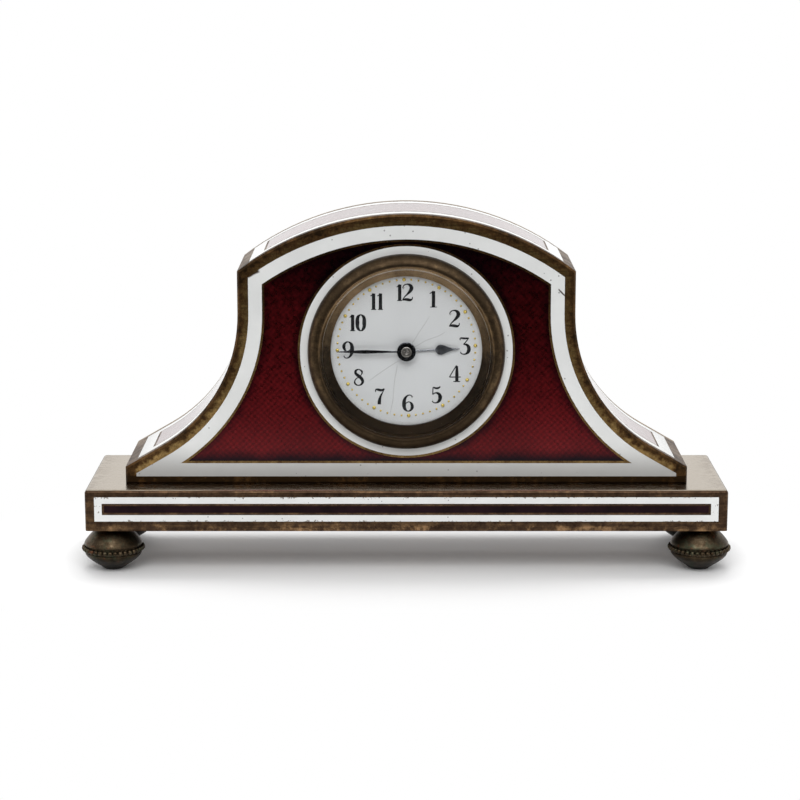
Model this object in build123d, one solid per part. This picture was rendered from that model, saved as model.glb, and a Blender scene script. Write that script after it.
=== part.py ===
"""Enamelled table timepiece: a brass case shaped as a crowned arch with swept flanks, on a
plinth with four turned feet. A white dial sits behind glass, and a key-wound lever movement
is wound and set through a round door at the back.

Millimetres. The origin is on the floor under the middle of the plinth. +X is to the right of
someone facing the dial, +Y runs to the back and +Z is up.
"""

import math
import os

from build123d import *

# Plinth
base_width = 110.8
base_depth = 28.0
base_height = 7.2
base_wall = 1.6
base_edge = 0.6
base_panel_side = 1.65
base_panel_top = 1.2
base_panel_bottom = 1.7
stripe_end_inset = 1.3
stripe_height = 1.2
bottom_plate_thickness = 1.0
bottom_plate_play = 0.05
fit_play = 0.05
hole_play = 0.1

# Feet
foot_height = 7.6
foot_reach = 5.55
foot_inset = 4.3
foot_sole_radius = 1.5
foot_seat_radius = 2.0
foot_bead_count = 36
foot_bead_height = 1.1
foot_bead_depth = 0.4
foot_ring_height = 3.7
foot_ring_step = 0.1
foot_shoulder_bulge = 0.55
foot_bowl_reach = 0.77
foot_bowl_rise = 0.47
foot_stud_radius = 1.05
foot_stud_length = 4.2
foot_boss_wall = 1.5

# Case outline, heights measured from the top of the plinth
case_ledge = 6.6
case_depth = 21.0
case_setback = 5.1
shoulder_width = 58.0
crown_radius = 47.8
flank_radius = 27.0
flank_toe = 6.3
stub_height = 2.95

# Case plates
front_thickness = 1.6
front_edge = 0.35
case_wall = 1.6
back_thickness = 1.2
pillar_radius = 1.6
pillar_clearance = 1.1
pillar_thread = 4.0
high_pillar_drop = 4.85
low_pillar_height = 7.0
low_pillar_step = 2.2
back_screw_length = 3.0
screw_radius = 0.85
screw_head_radius = 1.5
screw_head_height = 0.9
lug_length = 8.0
lug_height = 3.4
lug_depth = 9.0

# Enamel
enamel_depth = 0.5
line_width = 0.4
rim_width = 1.9
rim_sink = 0.6
border_width = 2.35
band_margin = 0.5
band_border = 2.4
band_strip = 2.0

# Dial and bezel
ring_gap_low = 0.55
ring_gap_high = 0.35
dial_sink = 1.2
dial_thickness = 0.8
dial_play = 0.1
dial_cover = 1.25
dial_hole_radius = 1.3
dial_foot_radius = 0.45
dial_foot_inset = 1.9
dial_foot_depth = 1.2
spacer_width = 1.1
bezel_tube_wall = 1.2
bezel_lip = 0.4
bezel_moulding = 1.9
bezel_stand = 2.2
bezel_foot = 0.3
bezel_inner_lip = 0.25
ring_enamel_width = 1.3
glass_lap = 0.4
glass_ledge = 0.5
glass_thickness = 0.9
glass_sink = 0.4
glass_bevel = 0.3

# Back door
door_radius = 13.4
door_opening = 12.6
door_thickness = 1.0
door_collar_wall = 1.0
door_play = 0.2
door_lift = 0.4
door_lip_width = 4.0
door_lip_length = 2.4
hinge_offset = 1.0
hinge_lift = 0.1
hinge_leaf_length = 2.2
knuckle_radius = 0.85
knuckle_length = 4.0
knuckle_gap = 0.2
hinge_pin_radius = 0.4

# Movement frame
motion_gap = 1.5
plate_radius = 15.3
plate_step = 0.3
plate_thickness = 1.8
train_gap = 4.4
bridge_thickness = 1.2
bridge_foot_radius = 1.3
bridge_foot_clearance = 0.3
bridge_edge = 0.3
bridge_screw_radius = 0.4
bridge_screw_depth = 1.0
bridge_screw_head = 0.4
train_boss_radius = 1.2
barrel_boss_radius = 3.0
balance_boss_radius = 1.4
clamp_clearance = 0.6
clamp_grip = 0.4
clamp_nose_radius = 1.1
clamp_thickness = 0.8
clamp_screw_length = 3.0
arbor_radius = 0.3
pivot_radius = 0.15
running_play = 0.03
end_shake = 0.05
pivot_depth = 0.8

# Wheels and pinions
pinion_leaves = 10
barrel_teeth = 80
centre_teeth = 80
third_teeth = 80
fourth_teeth = 75
escape_teeth = 15
cannon_leaves = 12
minute_teeth = 36
minute_leaves = 10
hour_teeth = 40
ratchet_teeth = 24
barrel_module = 0.15
centre_module = 0.11
third_module = 0.095
fourth_module = 0.09
motion_module = 0.14
escape_radius = 2.6
balance_radius = 4.3
roller_radius = 0.85
impulse_radius = 0.6
lever_length = 2.8
pallet_foot_distance = 3.6
pallet_foot_radius = 1.2

# Directions round the dial, degrees anticlockwise from +X seen from the front
barrel_direction = 120.0
third_direction = -10.0
fourth_direction = -80.0
escape_direction = 195.0
pallet_direction = 215.0
balance_direction = 175.0
minute_wheel_direction = 60.0
minute_hand_direction = 180.0
hour_hand_direction = 2.6

# Hands
minute_hand_margin = 1.05
hour_hand_shortfall = 2.8
hand_thickness = 0.25
hand_clearance = 0.3
hands_gap = 0.35
collet_radius = 1.6
collet_height = 0.3
minute_root_half = 0.13
minute_waist_half = 0.31
minute_tip_half = 0.07
hour_pear_radius = 0.86
hour_stem_half = 0.14
hour_tip_half = 0.06
cannon_pipe = 0.55
hour_pipe = 0.95
cannon_stand = 0.05

# Sizes and places worked out from the sizes above
case_width = base_width - 2 * case_ledge
bezel_tube = plate_radius + plate_step
dial_radius = bezel_tube - bezel_tube_wall - dial_play
dial_opening = dial_radius - dial_cover
glass_radius = dial_radius + glass_lap
bezel_crest = glass_radius + bezel_lip
bezel_radius = bezel_crest + bezel_moulding
ring_enamel_radius = bezel_radius + ring_enamel_width
minute_hand_length = dial_opening - minute_hand_margin
hour_hand_length = minute_hand_length - hour_hand_shortfall
clamp_reach = bezel_tube + hole_play + clamp_clearance + pillar_radius
ground_inset = rim_width + border_width + line_width
ring_reach = ring_enamel_radius + line_width
dial_height = ground_inset - rim_sink + ring_gap_low + ring_reach
case_height = dial_height + ring_reach + ring_gap_high + ground_inset
base_top = foot_height + base_height
dial_middle = base_top + dial_height
case_front = -base_depth / 2 + case_setback
case_back = case_front + case_depth
plate_back = case_front + front_thickness
back_front = case_back - back_thickness
dial_front = case_front + dial_sink
dial_back = dial_front + dial_thickness
main_front = dial_back + motion_gap
main_back = main_front + plate_thickness
bridge_floor = main_back + train_gap
bridge_top = bridge_floor + bridge_thickness
half_width = case_width / 2
half_shoulder = shoulder_width / 2
flank_run = half_width - half_shoulder - flank_toe
flank_slope = math.degrees(math.asin(1 - flank_run / flank_radius))
shoulder_height = case_height - crown_radius + math.sqrt(crown_radius**2 - half_shoulder**2)


def polar(radius, degrees):
    """Point at a radius and an angle."""
    angle = math.radians(degrees)
    return (radius * math.cos(angle), radius * math.sin(angle))


def step_from(point, distance, degrees):
    """Point at a distance and in a direction from another."""
    across, up = polar(distance, degrees)
    return (point[0] + across, point[1] + up)


def level(share):
    """Depth at a share of the way from the main plate to the bridges."""
    return main_back + share * train_gap


# Arbors, as x and z
centre = (0.0, dial_middle)
barrel = step_from(centre, barrel_module * (barrel_teeth + pinion_leaves) / 2, barrel_direction)
third = step_from(centre, centre_module * (centre_teeth + pinion_leaves) / 2, third_direction)
fourth = step_from(third, third_module * (third_teeth + pinion_leaves) / 2, fourth_direction)
escape = step_from(fourth, fourth_module * (fourth_teeth + pinion_leaves) / 2, escape_direction)
pallet = step_from(escape, escape_radius / math.cos(math.radians(30)), pallet_direction)
balance = step_from(pallet, lever_length + impulse_radius, balance_direction)
motion_distance = motion_module * (cannon_leaves + minute_teeth) / 2
minute_wheel_place = step_from(centre, motion_distance, minute_wheel_direction)
hour_module = 2 * motion_distance / (minute_leaves + hour_teeth)

# Feet of the bridges
foot_gap = bridge_foot_radius + bridge_foot_clearance
barrel_tip = barrel_module * (barrel_teeth / 2 + 1)
third_tip = third_module * (third_teeth / 2 + 1)
fourth_tip = fourth_module * (fourth_teeth / 2 + 1)
barrel_feet = [step_from(barrel, barrel_tip + foot_gap, turn) for turn in (165, 60)]
train_feet = [
    step_from(third, third_tip + foot_gap, 20),
    step_from(fourth, fourth_tip + foot_gap, -30),
]
balance_foot = step_from(balance, balance_radius + foot_gap, 180)
pallet_foot = step_from(pallet, pallet_foot_distance, -80)


# Helpers


def facing(depth, place=(0.0, 0.0)):
    """Plane that faces the front, at a depth and with its origin at an x and a z."""
    return Plane(origin=(place[0], depth, place[1]), x_dir=(1, 0, 0), z_dir=(0, -1, 0))


def slab(face, start, end, place=(0.0, 0.0)):
    """A face drawn in x and z, made solid from one depth back to another."""
    return extrude(facing(start, place) * face, amount=start - end)


def rod(place, radius, start, end):
    """Round bar along Y."""
    return slab(Circle(radius), start, end, place)


def rounded_hull(circles):
    """Face of the outline stretched round circles, each a place and a radius."""
    edges = []
    for place, radius in circles:
        edges += (Pos(*place) * Circle(radius)).edges()
    return make_hull(edges)


def turned(points_face, height):
    """A profile drawn in radius and depth, turned round the Y axis at a height."""
    return revolve(Pos(0, 0, height) * points_face, Axis((0, 0, height), (0, 1, 0)))


def polygon(points):
    """Face of a closed run of points."""
    return make_face(Polyline(*points, close=True))


def together(solids):
    """Separate solids kept in one piece."""
    return Compound(children=list(solids))


wheel_addendum = 0.85
wheel_dedendum = 1.15


def pinion_face(leaves, module, phase):
    """Pinion with flat-topped leaves, one of them at the phase angle."""
    pitch = 360 / leaves
    root = module * (leaves / 2 - wheel_dedendum)
    tip = module * (leaves / 2 + wheel_addendum)
    points = []
    for leaf in range(leaves):
        turn = phase + leaf * pitch
        points += [polar(root, turn - 0.28 * pitch), polar(tip, turn - 0.1 * pitch)]
        points += [polar(tip, turn + 0.1 * pitch), polar(root, turn + 0.28 * pitch)]
    return polygon(points)


def wheel_face(teeth, module, phase):
    """Wheel with pointed teeth, one of them at the phase angle."""
    pitch = 360 / teeth
    root = module * (teeth / 2 - wheel_dedendum)
    tip = module * (teeth / 2 + wheel_addendum)
    points = []
    for tooth in range(teeth):
        turn = phase + tooth * pitch
        points += [polar(root, turn - 0.3 * pitch), polar(tip, turn)]
        points.append(polar(root, turn + 0.3 * pitch))
    return polygon(points)


def crossed(face, hub, rim, spokes=4, spoke=14.0):
    """A wheel's face with straight-sided windows that leave spokes."""
    window = 360 / spokes
    for number in range(spokes):
        start = number * window + spoke
        end = (number + 1) * window - spoke
        middle = (start + end) / 2
        corners = [polar(rim, start), polar(rim, middle), polar(rim, end)]
        corners += [polar(hub, end), polar(hub, start)]
        face -= polygon(corners)
    return face


def spiral_face(inner, pitch, turns, thickness):
    """Flat coil of half turns about two middles."""
    inside = []
    outside = []
    for half in range(2 * turns):
        middle = (pitch / 2 * (half % 2), 0)
        radius = inner + half * pitch / 2
        inside.append(CenterArc(middle, radius - thickness / 2, 180 * half, 180))
        outside.append(CenterArc(middle, radius + thickness / 2, 180 * half, 180))
    ends = [Line(inside[0] @ 0, outside[0] @ 0), Line(inside[-1] @ 1, outside[-1] @ 1)]
    return make_face(inside + outside + ends)


def rectangle(left, right, bottom, top):
    """Face between two x and two heights."""
    return Pos((left + right) / 2, (bottom + top) / 2) * Rectangle(right - left, top - bottom)


# Plinth and feet

panel_height = base_height - base_panel_top - base_panel_bottom
panel_middle = foot_height + base_panel_bottom + panel_height / 2
foot_places = {
    "front_left": (-1, -1),
    "front_right": (1, -1),
    "back_left": (-1, 1),
    "back_right": (1, 1),
}


def foot_place(name):
    """Middle of a foot on the floor."""
    across, along = foot_places[name]
    return (across * (base_width / 2 - foot_inset), along * (base_depth / 2 - foot_inset))


def base_panels():
    """Planes on the plinth's front and two ends, each with the length of its enamel field."""
    front = Plane(origin=(0, -base_depth / 2, panel_middle), x_dir=(1, 0, 0), z_dir=(0, -1, 0))
    right = Plane(origin=(base_width / 2, 0, panel_middle), x_dir=(0, 1, 0), z_dir=(1, 0, 0))
    left = Plane(origin=(-base_width / 2, 0, panel_middle), x_dir=(0, -1, 0), z_dir=(-1, 0, 0))
    long_field = base_width - 2 * base_panel_side
    short_field = base_depth - 2 * base_panel_side
    return [(front, long_field), (right, short_field), (left, short_field)]


def stripe_face(length, grown):
    """Aubergine stripe inside a white field, grown by the line round it."""
    across = length - 2 * (stripe_end_inset + line_width) + 2 * grown
    return Rectangle(across, stripe_height + 2 * grown)


def base_white_enamel():
    fields = []
    for plane, length in base_panels():
        field = Rectangle(length, panel_height) - stripe_face(length, line_width)
        fields.append(extrude(plane * field, amount=-enamel_depth).solid())
    return together(fields)


def base_red_enamel():
    stripes = []
    for plane, length in base_panels():
        stripes.append(extrude(plane * stripe_face(length, 0), amount=-enamel_depth).solid())
    return together(stripes)


def case_screw_places():
    """Screws through the plinth's top into the lugs of the flanks."""
    across = half_width - lug_length + 2 * screw_radius
    along = (plate_back + back_front) / 2
    return [(-across, along), (across, along)]


def base_plinth():
    middle = foot_height + base_height / 2
    block = Pos(0, 0, middle) * Box(base_width, base_depth, base_height)
    top_edges = block.faces().sort_by(Axis.Z)[-1].edges()
    block = fillet(block.edges().filter_by(Axis.Z) + top_edges, base_edge)
    room = Box(base_width - 2 * base_wall, base_depth - 2 * base_wall, base_height - base_wall)
    block -= Pos(0, 0, middle - base_wall / 2) * room
    boss_height = base_height - base_wall - bottom_plate_thickness
    boss_middle = base_top - base_wall - boss_height / 2
    boss_radius = foot_stud_radius + foot_boss_wall
    for name in foot_places:
        block += Pos(*foot_place(name), boss_middle) * Cylinder(boss_radius, boss_height)
    stud_hole = foot_stud_radius + fit_play
    stud_depth = foot_stud_length - bottom_plate_thickness
    for name in foot_places:
        hole = Cylinder(stud_hole, stud_depth, align=(Align.CENTER, Align.CENTER, Align.MIN))
        block -= Pos(*foot_place(name), foot_height + bottom_plate_thickness) * hole
    for place in case_screw_places():
        hole = Cylinder(screw_radius + hole_play, 2 * base_wall)
        block -= Pos(*place, base_top - base_wall / 2) * hole
    return block - base_white_enamel() - base_red_enamel()


def base_bottom_plate():
    across = base_width - 2 * (base_wall + bottom_plate_play)
    along = base_depth - 2 * (base_wall + bottom_plate_play)
    plate = Box(across, along, bottom_plate_thickness)
    plate = Pos(0, 0, foot_height + bottom_plate_thickness / 2) * plate
    for name in foot_places:
        hole = Cylinder(foot_stud_radius + fit_play, 4 * bottom_plate_thickness)
        plate -= Pos(*foot_place(name), foot_height) * hole
    return plate


def foot(name):
    """Turned bun foot with a scalloped ring round its widest part and a stud on top."""
    neck = foot_reach - foot_bead_depth - foot_ring_step
    ring_low = foot_ring_height - foot_bead_height / 2
    ring_high = foot_ring_height + foot_bead_height / 2
    bowl_middle = (foot_bowl_reach * neck, foot_bowl_rise * ring_low)
    bowl = ThreePointArc((foot_sole_radius, 0), bowl_middle, (neck, ring_low))
    belly = Line((neck, ring_low), (neck, ring_high))
    lift = foot_height - ring_high
    shoulder_radius = (neck + foot_seat_radius) / 2 + foot_shoulder_bulge
    shoulder = ThreePointArc(
        (neck, ring_high), (shoulder_radius, ring_high + lift / 2), (foot_seat_radius, foot_height)
    )
    closing = Polyline((foot_seat_radius, foot_height), (0, foot_height), (0, 0), (foot_sole_radius, 0))
    body = revolve(Plane.XZ * make_face([bowl, belly, shoulder, closing]), Axis.Z)
    pitch = 360 / foot_bead_count
    points = []
    for bead in range(foot_bead_count):
        turn = bead * pitch
        points.append(polar(foot_reach - foot_bead_depth, turn))
        points.append(polar(foot_reach, turn + 0.3 * pitch))
        points.append(polar(foot_reach, turn + 0.7 * pitch))
    body += Pos(0, 0, ring_low) * extrude(polygon(points), amount=foot_bead_height)
    stud = Cylinder(foot_stud_radius, foot_stud_length, align=(Align.CENTER, Align.CENTER, Align.MIN))
    body += Pos(0, 0, foot_height) * stud
    return Pos(*foot_place(name), 0) * body


def case_fixing_screws():
    """Two screws from inside the plinth up into the lugs of the flanks."""
    screws = []
    head_top = base_top - base_wall
    for across, along in case_screw_places():
        low = (Align.CENTER, Align.CENTER, Align.MIN)
        head = Cylinder(screw_head_radius, screw_head_height, align=low)
        shank = Cylinder(screw_radius, base_wall + 0.8 * lug_height, align=low)
        screw = Pos(across, along, head_top - screw_head_height) * head
        screw += Pos(across, along, head_top) * shank
        screws.append(screw.solid())
    return together(screws)


# Case


def case_outline(sink=0.0):
    """Case seen from the front, in x and height over the plinth, its foot lowered by sink."""
    slope = math.radians(flank_slope)
    bend_end = half_width - flank_toe
    bend_low = stub_height + flank_toe * math.tan(slope)
    bend_middle = bend_low + flank_radius * math.cos(slope)
    right = [
        Line((half_width, -sink), (half_width, stub_height)),
        Line((half_width, stub_height), (bend_end, bend_low)),
        CenterArc(
            (half_shoulder + flank_radius, bend_middle),
            flank_radius,
            270 - flank_slope,
            flank_slope - 90,
        ),
        Line((half_shoulder, bend_middle), (half_shoulder, shoulder_height)),
    ]
    left = [mirror(edge, about=Plane.YZ) for edge in right]
    crown = ThreePointArc(
        (half_shoulder, shoulder_height), (0, case_height), (-half_shoulder, shoulder_height)
    )
    foot_line = Line((-half_width, -sink), (half_width, -sink))
    return make_face(right + [crown] + left + [foot_line])


def inset_outline(amount, sink):
    """The outline drawn in by an amount all round, with its foot first lowered by sink."""
    return offset(case_outline(sink), amount=-amount, kind=Kind.INTERSECTION)


def raised(face):
    """A face drawn over the plinth's top, lifted to its height over the floor."""
    return Pos(0, base_top) * face


def dial_circle(radius):
    """Circle round the dial, drawn over the plinth's top."""
    return Pos(0, dial_height) * Circle(radius)


def front_white_enamel():
    border = inset_outline(rim_width, rim_sink) - inset_outline(rim_width + border_width, rim_sink)
    return slab(raised(border), case_front, case_front + enamel_depth)


def front_red_enamel():
    ground = inset_outline(ground_inset, rim_sink) - dial_circle(ring_reach)
    return slab(raised(ground), case_front, case_front + enamel_depth)


def dial_ring_enamel():
    ring = dial_circle(ring_enamel_radius) - dial_circle(bezel_radius)
    return slab(raised(ring), case_front, case_front + enamel_depth)


clamp_turns = (45, 180, 290)
high_pillar = (
    half_shoulder - case_wall - pillar_radius - pillar_clearance,
    shoulder_height - high_pillar_drop,
)
low_pillar = (half_shoulder + low_pillar_step, low_pillar_height)
pillar_places = [
    (side * across, up) for across, up in (high_pillar, low_pillar) for side in (1, -1)
]


def clamp_place(turn, reach=clamp_reach):
    """Place on the clamp's line from the dial's middle."""
    return step_from(centre, reach, turn)


def case_front_plate():
    plate = slab(raised(case_outline()), case_front, plate_back)
    rim = plate.faces().sort_by(Axis.Y)[0].edges()
    plate = chamfer(rim, front_edge)
    plate -= rod(centre, bezel_tube + hole_play, case_front - 1, plate_back + 1)
    for turn in clamp_turns:
        plate += rod(clamp_place(turn), pillar_radius, plate_back, main_back)
        plate -= rod(clamp_place(turn), screw_radius, plate_back, main_back)
    return plate - front_white_enamel() - front_red_enamel() - dial_ring_enamel()


def case_pillars():
    """Four posts that tie the front plate to the back plate."""
    posts = []
    for across, up in pillar_places:
        place = (across, base_top + up)
        post = rod(place, pillar_radius, plate_back, back_front)
        post -= rod(place, screw_radius, back_front - pillar_thread, back_front)
        posts.append(post.solid())
    return together(posts)


def wall_face():
    """Band round the case, open at the foot."""
    return case_outline() - inset_outline(case_wall, case_wall)


def crown_zone():
    """Area of the crown plate, cut off along the mitres at the shoulders."""
    inner_half = half_shoulder - case_wall
    drop = crown_radius - case_height
    inner_height = math.sqrt((crown_radius - case_wall) ** 2 - inner_half**2) - drop
    rise = shoulder_height - inner_height
    reach = 4
    outer = (half_shoulder + reach * case_wall, shoulder_height + reach * rise)
    top = case_height + reach * case_wall
    right = [(inner_half, inner_height), outer, (outer[0], max(top, outer[1] + 1))]
    left = [(-across, up) for across, up in reversed(right)]
    return polygon(right + left)


def lug_face(side):
    """Solid end of a flank that the case screw goes into."""
    outer = side * half_width
    inner = side * (half_width - lug_length)
    block = rectangle(min(outer, inner), max(outer, inner), 0, lug_height)
    return case_outline() & block


def crown_plate():
    band = slab(raised(wall_face() & crown_zone()), plate_back, back_front)
    return band - band_enamel("crown", 0) - band_enamel("crown", 1)


def flank_plate(side):
    zone = rectangle(min(0, side * case_width), max(0, side * case_width), -1, case_height)
    band = slab(raised((wall_face() & zone) - crown_zone()), plate_back, back_front)
    along = (plate_back + back_front) / 2
    band += slab(raised(lug_face(side)), along - lug_depth / 2, along + lug_depth / 2)
    for across, depth in case_screw_places():
        if across * side > 0:
            band -= Pos(across, depth, base_top) * Cylinder(screw_radius, 2 * lug_height)
    name = "right" if side > 0 else "left"
    return band - band_enamel(name, 0) - band_enamel(name, 1)


def band_field(name, inset):
    """Enamel field on a band plate, drawn in from its ends and edges by an inset."""
    strip = band_strip + inset
    skin = case_outline() - inset_outline(enamel_depth, enamel_depth)
    if name == "crown":
        reach = half_shoulder - strip
        zone = rectangle(-reach, reach, shoulder_height - strip, case_height + 1)
    else:
        side = 1 if name == "right" else -1
        inner = side * (half_shoulder - strip)
        outer = side * (half_width - strip)
        zone = rectangle(min(inner, outer), max(inner, outer), stub_height, shoulder_height - strip)
    start = plate_back + band_margin + inset
    return slab(raised(skin & zone), start, back_front - band_margin - inset)


def band_enamel(name, colour):
    """White border (colour 0) or red panel (colour 1) of a band plate."""
    if colour:
        return band_field(name, band_border + line_width)
    return band_field(name, 0) - band_field(name, band_border)


def back_plate():
    plate = slab(raised(case_outline()), back_front, case_back)
    plate -= rod(centre, door_opening, back_front - 1, case_back + 1)
    hole = screw_radius + hole_play
    for across, up in pillar_places:
        plate -= rod((across, base_top + up), hole, back_front - 1, case_back + 1)
    for side in (-1, 1):
        plate += hinge_knuckle(side * knuckle_length, hinge_pin_radius)
    return plate


def back_screws():
    """Screws through the back plate into the pillars."""
    screws = []
    for across, up in pillar_places:
        place = (across, base_top + up)
        screw = rod(place, screw_radius, back_front - back_screw_length, case_back)
        screw += rod(place, screw_head_radius, case_back, case_back + screw_head_height)
        screws.append(screw.solid())
    return together(screws)


# Back door

hinge_across = -door_radius - hinge_offset
hinge_depth = case_back + knuckle_radius + hinge_lift


def hinge_knuckle(shift, bore):
    """One knuckle of the hinge with its web to the back plate, shifted up by a distance."""
    length = knuckle_length - knuckle_gap
    barrel_part = Cylinder(knuckle_radius, length)
    web_depth = hinge_depth - case_back
    web = Pos(0, -web_depth / 2, 0) * Box(2 * knuckle_radius, web_depth, length)
    knuckle = (barrel_part + web) - Cylinder(bore, 2 * length)
    return Pos(hinge_across, hinge_depth, dial_middle + shift) * knuckle


def back_door():
    door = rod(centre, door_radius, case_back, case_back + door_thickness)
    collar = door_opening - door_play
    ring = Circle(collar) - Circle(collar - door_collar_wall)
    door += slab(ring, back_front + door_play, case_back, centre)
    tab_depth = door_thickness - door_lift
    tab_middle = case_back + door_lift + tab_depth / 2
    lip = Box(door_lip_length, tab_depth, door_lip_width)
    door += Pos(door_radius, tab_middle, dial_middle) * lip
    length = knuckle_length - knuckle_gap
    leaf = Box(hinge_leaf_length, tab_depth, length)
    door += Pos(hinge_across + hinge_leaf_length / 2, tab_middle, dial_middle) * leaf
    door += Pos(hinge_across, hinge_depth, dial_middle) * Cylinder(knuckle_radius, length)
    bore = Cylinder(hinge_pin_radius + fit_play, 2 * length)
    return door - Pos(hinge_across, hinge_depth, dial_middle) * bore


def hinge_pin():
    pin = Cylinder(hinge_pin_radius, 3 * knuckle_length)
    return Pos(hinge_across, hinge_depth, dial_middle) * pin


# Bezel, glass, dial and hands

bezel_front = case_front - bezel_stand
glass_front = bezel_front + glass_sink
glass_back = glass_front + glass_thickness


def bezel():
    """Quarter-round moulding, glass seat, sloping inner band and a tube through the plate."""
    seat = glass_radius + fit_play
    tube_inner = bezel_tube - bezel_tube_wall
    foot_depth = case_front - bezel_foot
    across = bezel_radius - bezel_crest
    rise = foot_depth - bezel_front
    diagonal = math.sqrt(0.5)
    bulge = (bezel_crest + diagonal * across, foot_depth - diagonal * rise)
    moulding = ThreePointArc((bezel_radius, foot_depth), bulge, (bezel_crest, bezel_front))
    rest = Polyline(
        (bezel_crest, bezel_front),
        (seat, bezel_front),
        (seat, glass_back),
        (seat - glass_ledge, glass_back),
        (dial_opening, dial_front - bezel_inner_lip),
        (dial_opening, dial_front),
        (tube_inner, dial_front),
        (tube_inner, main_front),
        (bezel_tube, main_front),
        (bezel_tube, case_front),
        (bezel_radius, case_front),
        (bezel_radius, foot_depth),
    )
    return turned(make_face([moulding, rest]), dial_middle)


def glass():
    disc = rod(centre, glass_radius, glass_front, glass_back)
    return chamfer(disc.faces().sort_by(Axis.Y)[0].edges(), glass_bevel)


dial_foot_turns = (70, 250)


def dial_foot_place(turn):
    return step_from(centre, dial_radius - dial_foot_inset, turn)


def dial():
    disc = rod(centre, dial_radius, dial_front, dial_back)
    disc -= rod(centre, dial_hole_radius, dial_front - 1, dial_back + 1)
    foot_end = main_front + dial_foot_depth
    for turn in dial_foot_turns:
        disc += rod(dial_foot_place(turn), dial_foot_radius, dial_back, foot_end)
    return disc


def spacer_ring():
    ring = Circle(dial_radius) - Circle(dial_radius - spacer_width)
    return slab(ring, dial_back, main_front, centre)


hour_hand_back = dial_front - hand_clearance
minute_hand_back = hour_hand_back - hand_thickness - hands_gap
collet_front = minute_hand_back - hand_thickness - collet_height


def minute_hand():
    """Slim leaf on a round collet."""
    root = 0.8 * collet_radius
    waist = 0.58 * minute_hand_length
    upper = ThreePointArc(
        (root, minute_root_half),
        (waist, minute_waist_half),
        (minute_hand_length, minute_tip_half),
    )
    lower = mirror(upper, about=Plane.XZ)
    ends = [Line(upper @ 0, lower @ 0), Line(upper @ 1, lower @ 1)]
    leaf = make_face([upper, lower] + ends)
    leaf += Circle(0.9 * collet_radius)
    leaf = Rot(0, 0, minute_hand_direction) * leaf
    hand = slab(leaf, minute_hand_back - hand_thickness, minute_hand_back, centre)
    hand += rod(centre, collet_radius, collet_front, minute_hand_back - hand_thickness)
    return hand - rod(centre, cannon_pipe, collet_front - 1, minute_hand_back + 1)


def hour_hand():
    """Thin stem, pear-shaped swelling and a long point."""
    pear = hour_pear_radius
    pear_place = 0.64 * hour_hand_length
    spike_start = pear_place + 0.45 * pear
    spike_middle = spike_start + 0.37 * (hour_hand_length - spike_start)
    upper = ThreePointArc(
        (spike_start, 0.88 * pear),
        (spike_middle, 0.28 * pear),
        (hour_hand_length, hour_tip_half),
    )
    lower = mirror(upper, about=Plane.XZ)
    ends = [Line(upper @ 0, lower @ 0), Line(upper @ 1, lower @ 1)]
    shape = make_face([upper, lower] + ends)
    shape += Pos(pear_place, 0) * Circle(pear)
    shape += rectangle(0, pear_place, -hour_stem_half, hour_stem_half)
    shape += Circle(collet_radius)
    shape -= Circle(hour_pipe)
    shape = Rot(0, 0, hour_hand_direction) * shape
    return slab(shape, hour_hand_back - hand_thickness, hour_hand_back, centre)


# Motion work, between the dial and the main plate

motion_wheel_thickness = 0.4
motion_wheel_gap = 0.2
hour_wheel_gap = 0.15
cannon_overlap = 0.15
minute_stud_radius = 0.35
minute_stud_gap = 0.1
set_arbor_radius = 0.3
knob_gap = 0.3
knob_length = 2.4
knob_radius = 2.0
knob_teeth = 30
knob_button = 0.5
minute_wheel_back = main_front - motion_wheel_gap
minute_wheel_front = minute_wheel_back - motion_wheel_thickness
hour_wheel_front = dial_back + hour_wheel_gap
hour_wheel_back = hour_wheel_front + motion_wheel_thickness
knob_front = bridge_top + knob_gap
knob_back = knob_front + knob_length


def setting_arbor():
    """Cannon pinion with its pipe, on the arbor that runs back through the centre tube."""
    teeth = pinion_face(cannon_leaves, motion_module, minute_wheel_direction)
    teeth_front = minute_wheel_front - cannon_overlap
    piece = slab(teeth, teeth_front, minute_wheel_back + hole_play, centre)
    piece += rod(centre, cannon_pipe, collet_front - cannon_stand, teeth_front)
    return piece + rod(centre, set_arbor_radius, minute_wheel_back, knob_back)


def setting_knob():
    """Knob with a coarse milled edge."""
    knob_module = knob_radius / (knob_teeth / 2 + wheel_addendum)
    knob = slab(wheel_face(knob_teeth, knob_module, 0), knob_front, knob_back, centre)
    knob += rod(centre, 0.6 * knob_radius, knob_back, knob_back + knob_button)
    return knob - rod(centre, set_arbor_radius, knob_front - 1, knob_back)


def minute_wheel():
    """Wheel and pinion that turn on a stud of the main plate."""
    back_to_centre = minute_wheel_direction + 180
    half_pitch = 180 / minute_teeth
    teeth = wheel_face(minute_teeth, motion_module, back_to_centre + half_pitch)
    piece = slab(teeth, minute_wheel_front, minute_wheel_back, minute_wheel_place)
    leaves = pinion_face(minute_leaves, hour_module, back_to_centre)
    piece += slab(leaves, hour_wheel_front, minute_wheel_front, minute_wheel_place)
    stud_hole = minute_stud_radius + running_play
    return piece - rod(minute_wheel_place, stud_hole, dial_back, main_front)


def hour_wheel():
    """Wheel with the pipe that carries the hour hand."""
    teeth = wheel_face(hour_teeth, hour_module, minute_wheel_direction + 180 / hour_teeth)
    piece = slab(teeth, hour_wheel_front, hour_wheel_back, centre)
    piece += rod(centre, hour_pipe, hour_hand_back - hand_thickness, hour_wheel_front)
    bore = cannon_pipe + running_play
    return piece - rod(centre, bore, hour_hand_back - 1, hour_wheel_back + 1)


# Going train, between the main plate and the bridges

centre_tube = 0.55
barrel_arbor_radius = 0.9
barrel_core_radius = 1.6
barrel_pivot_depth = 1.0
drum_step = 0.39
drum_wall = 0.5
drum_radius = barrel_module * barrel_teeth / 2 - drum_step


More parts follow.
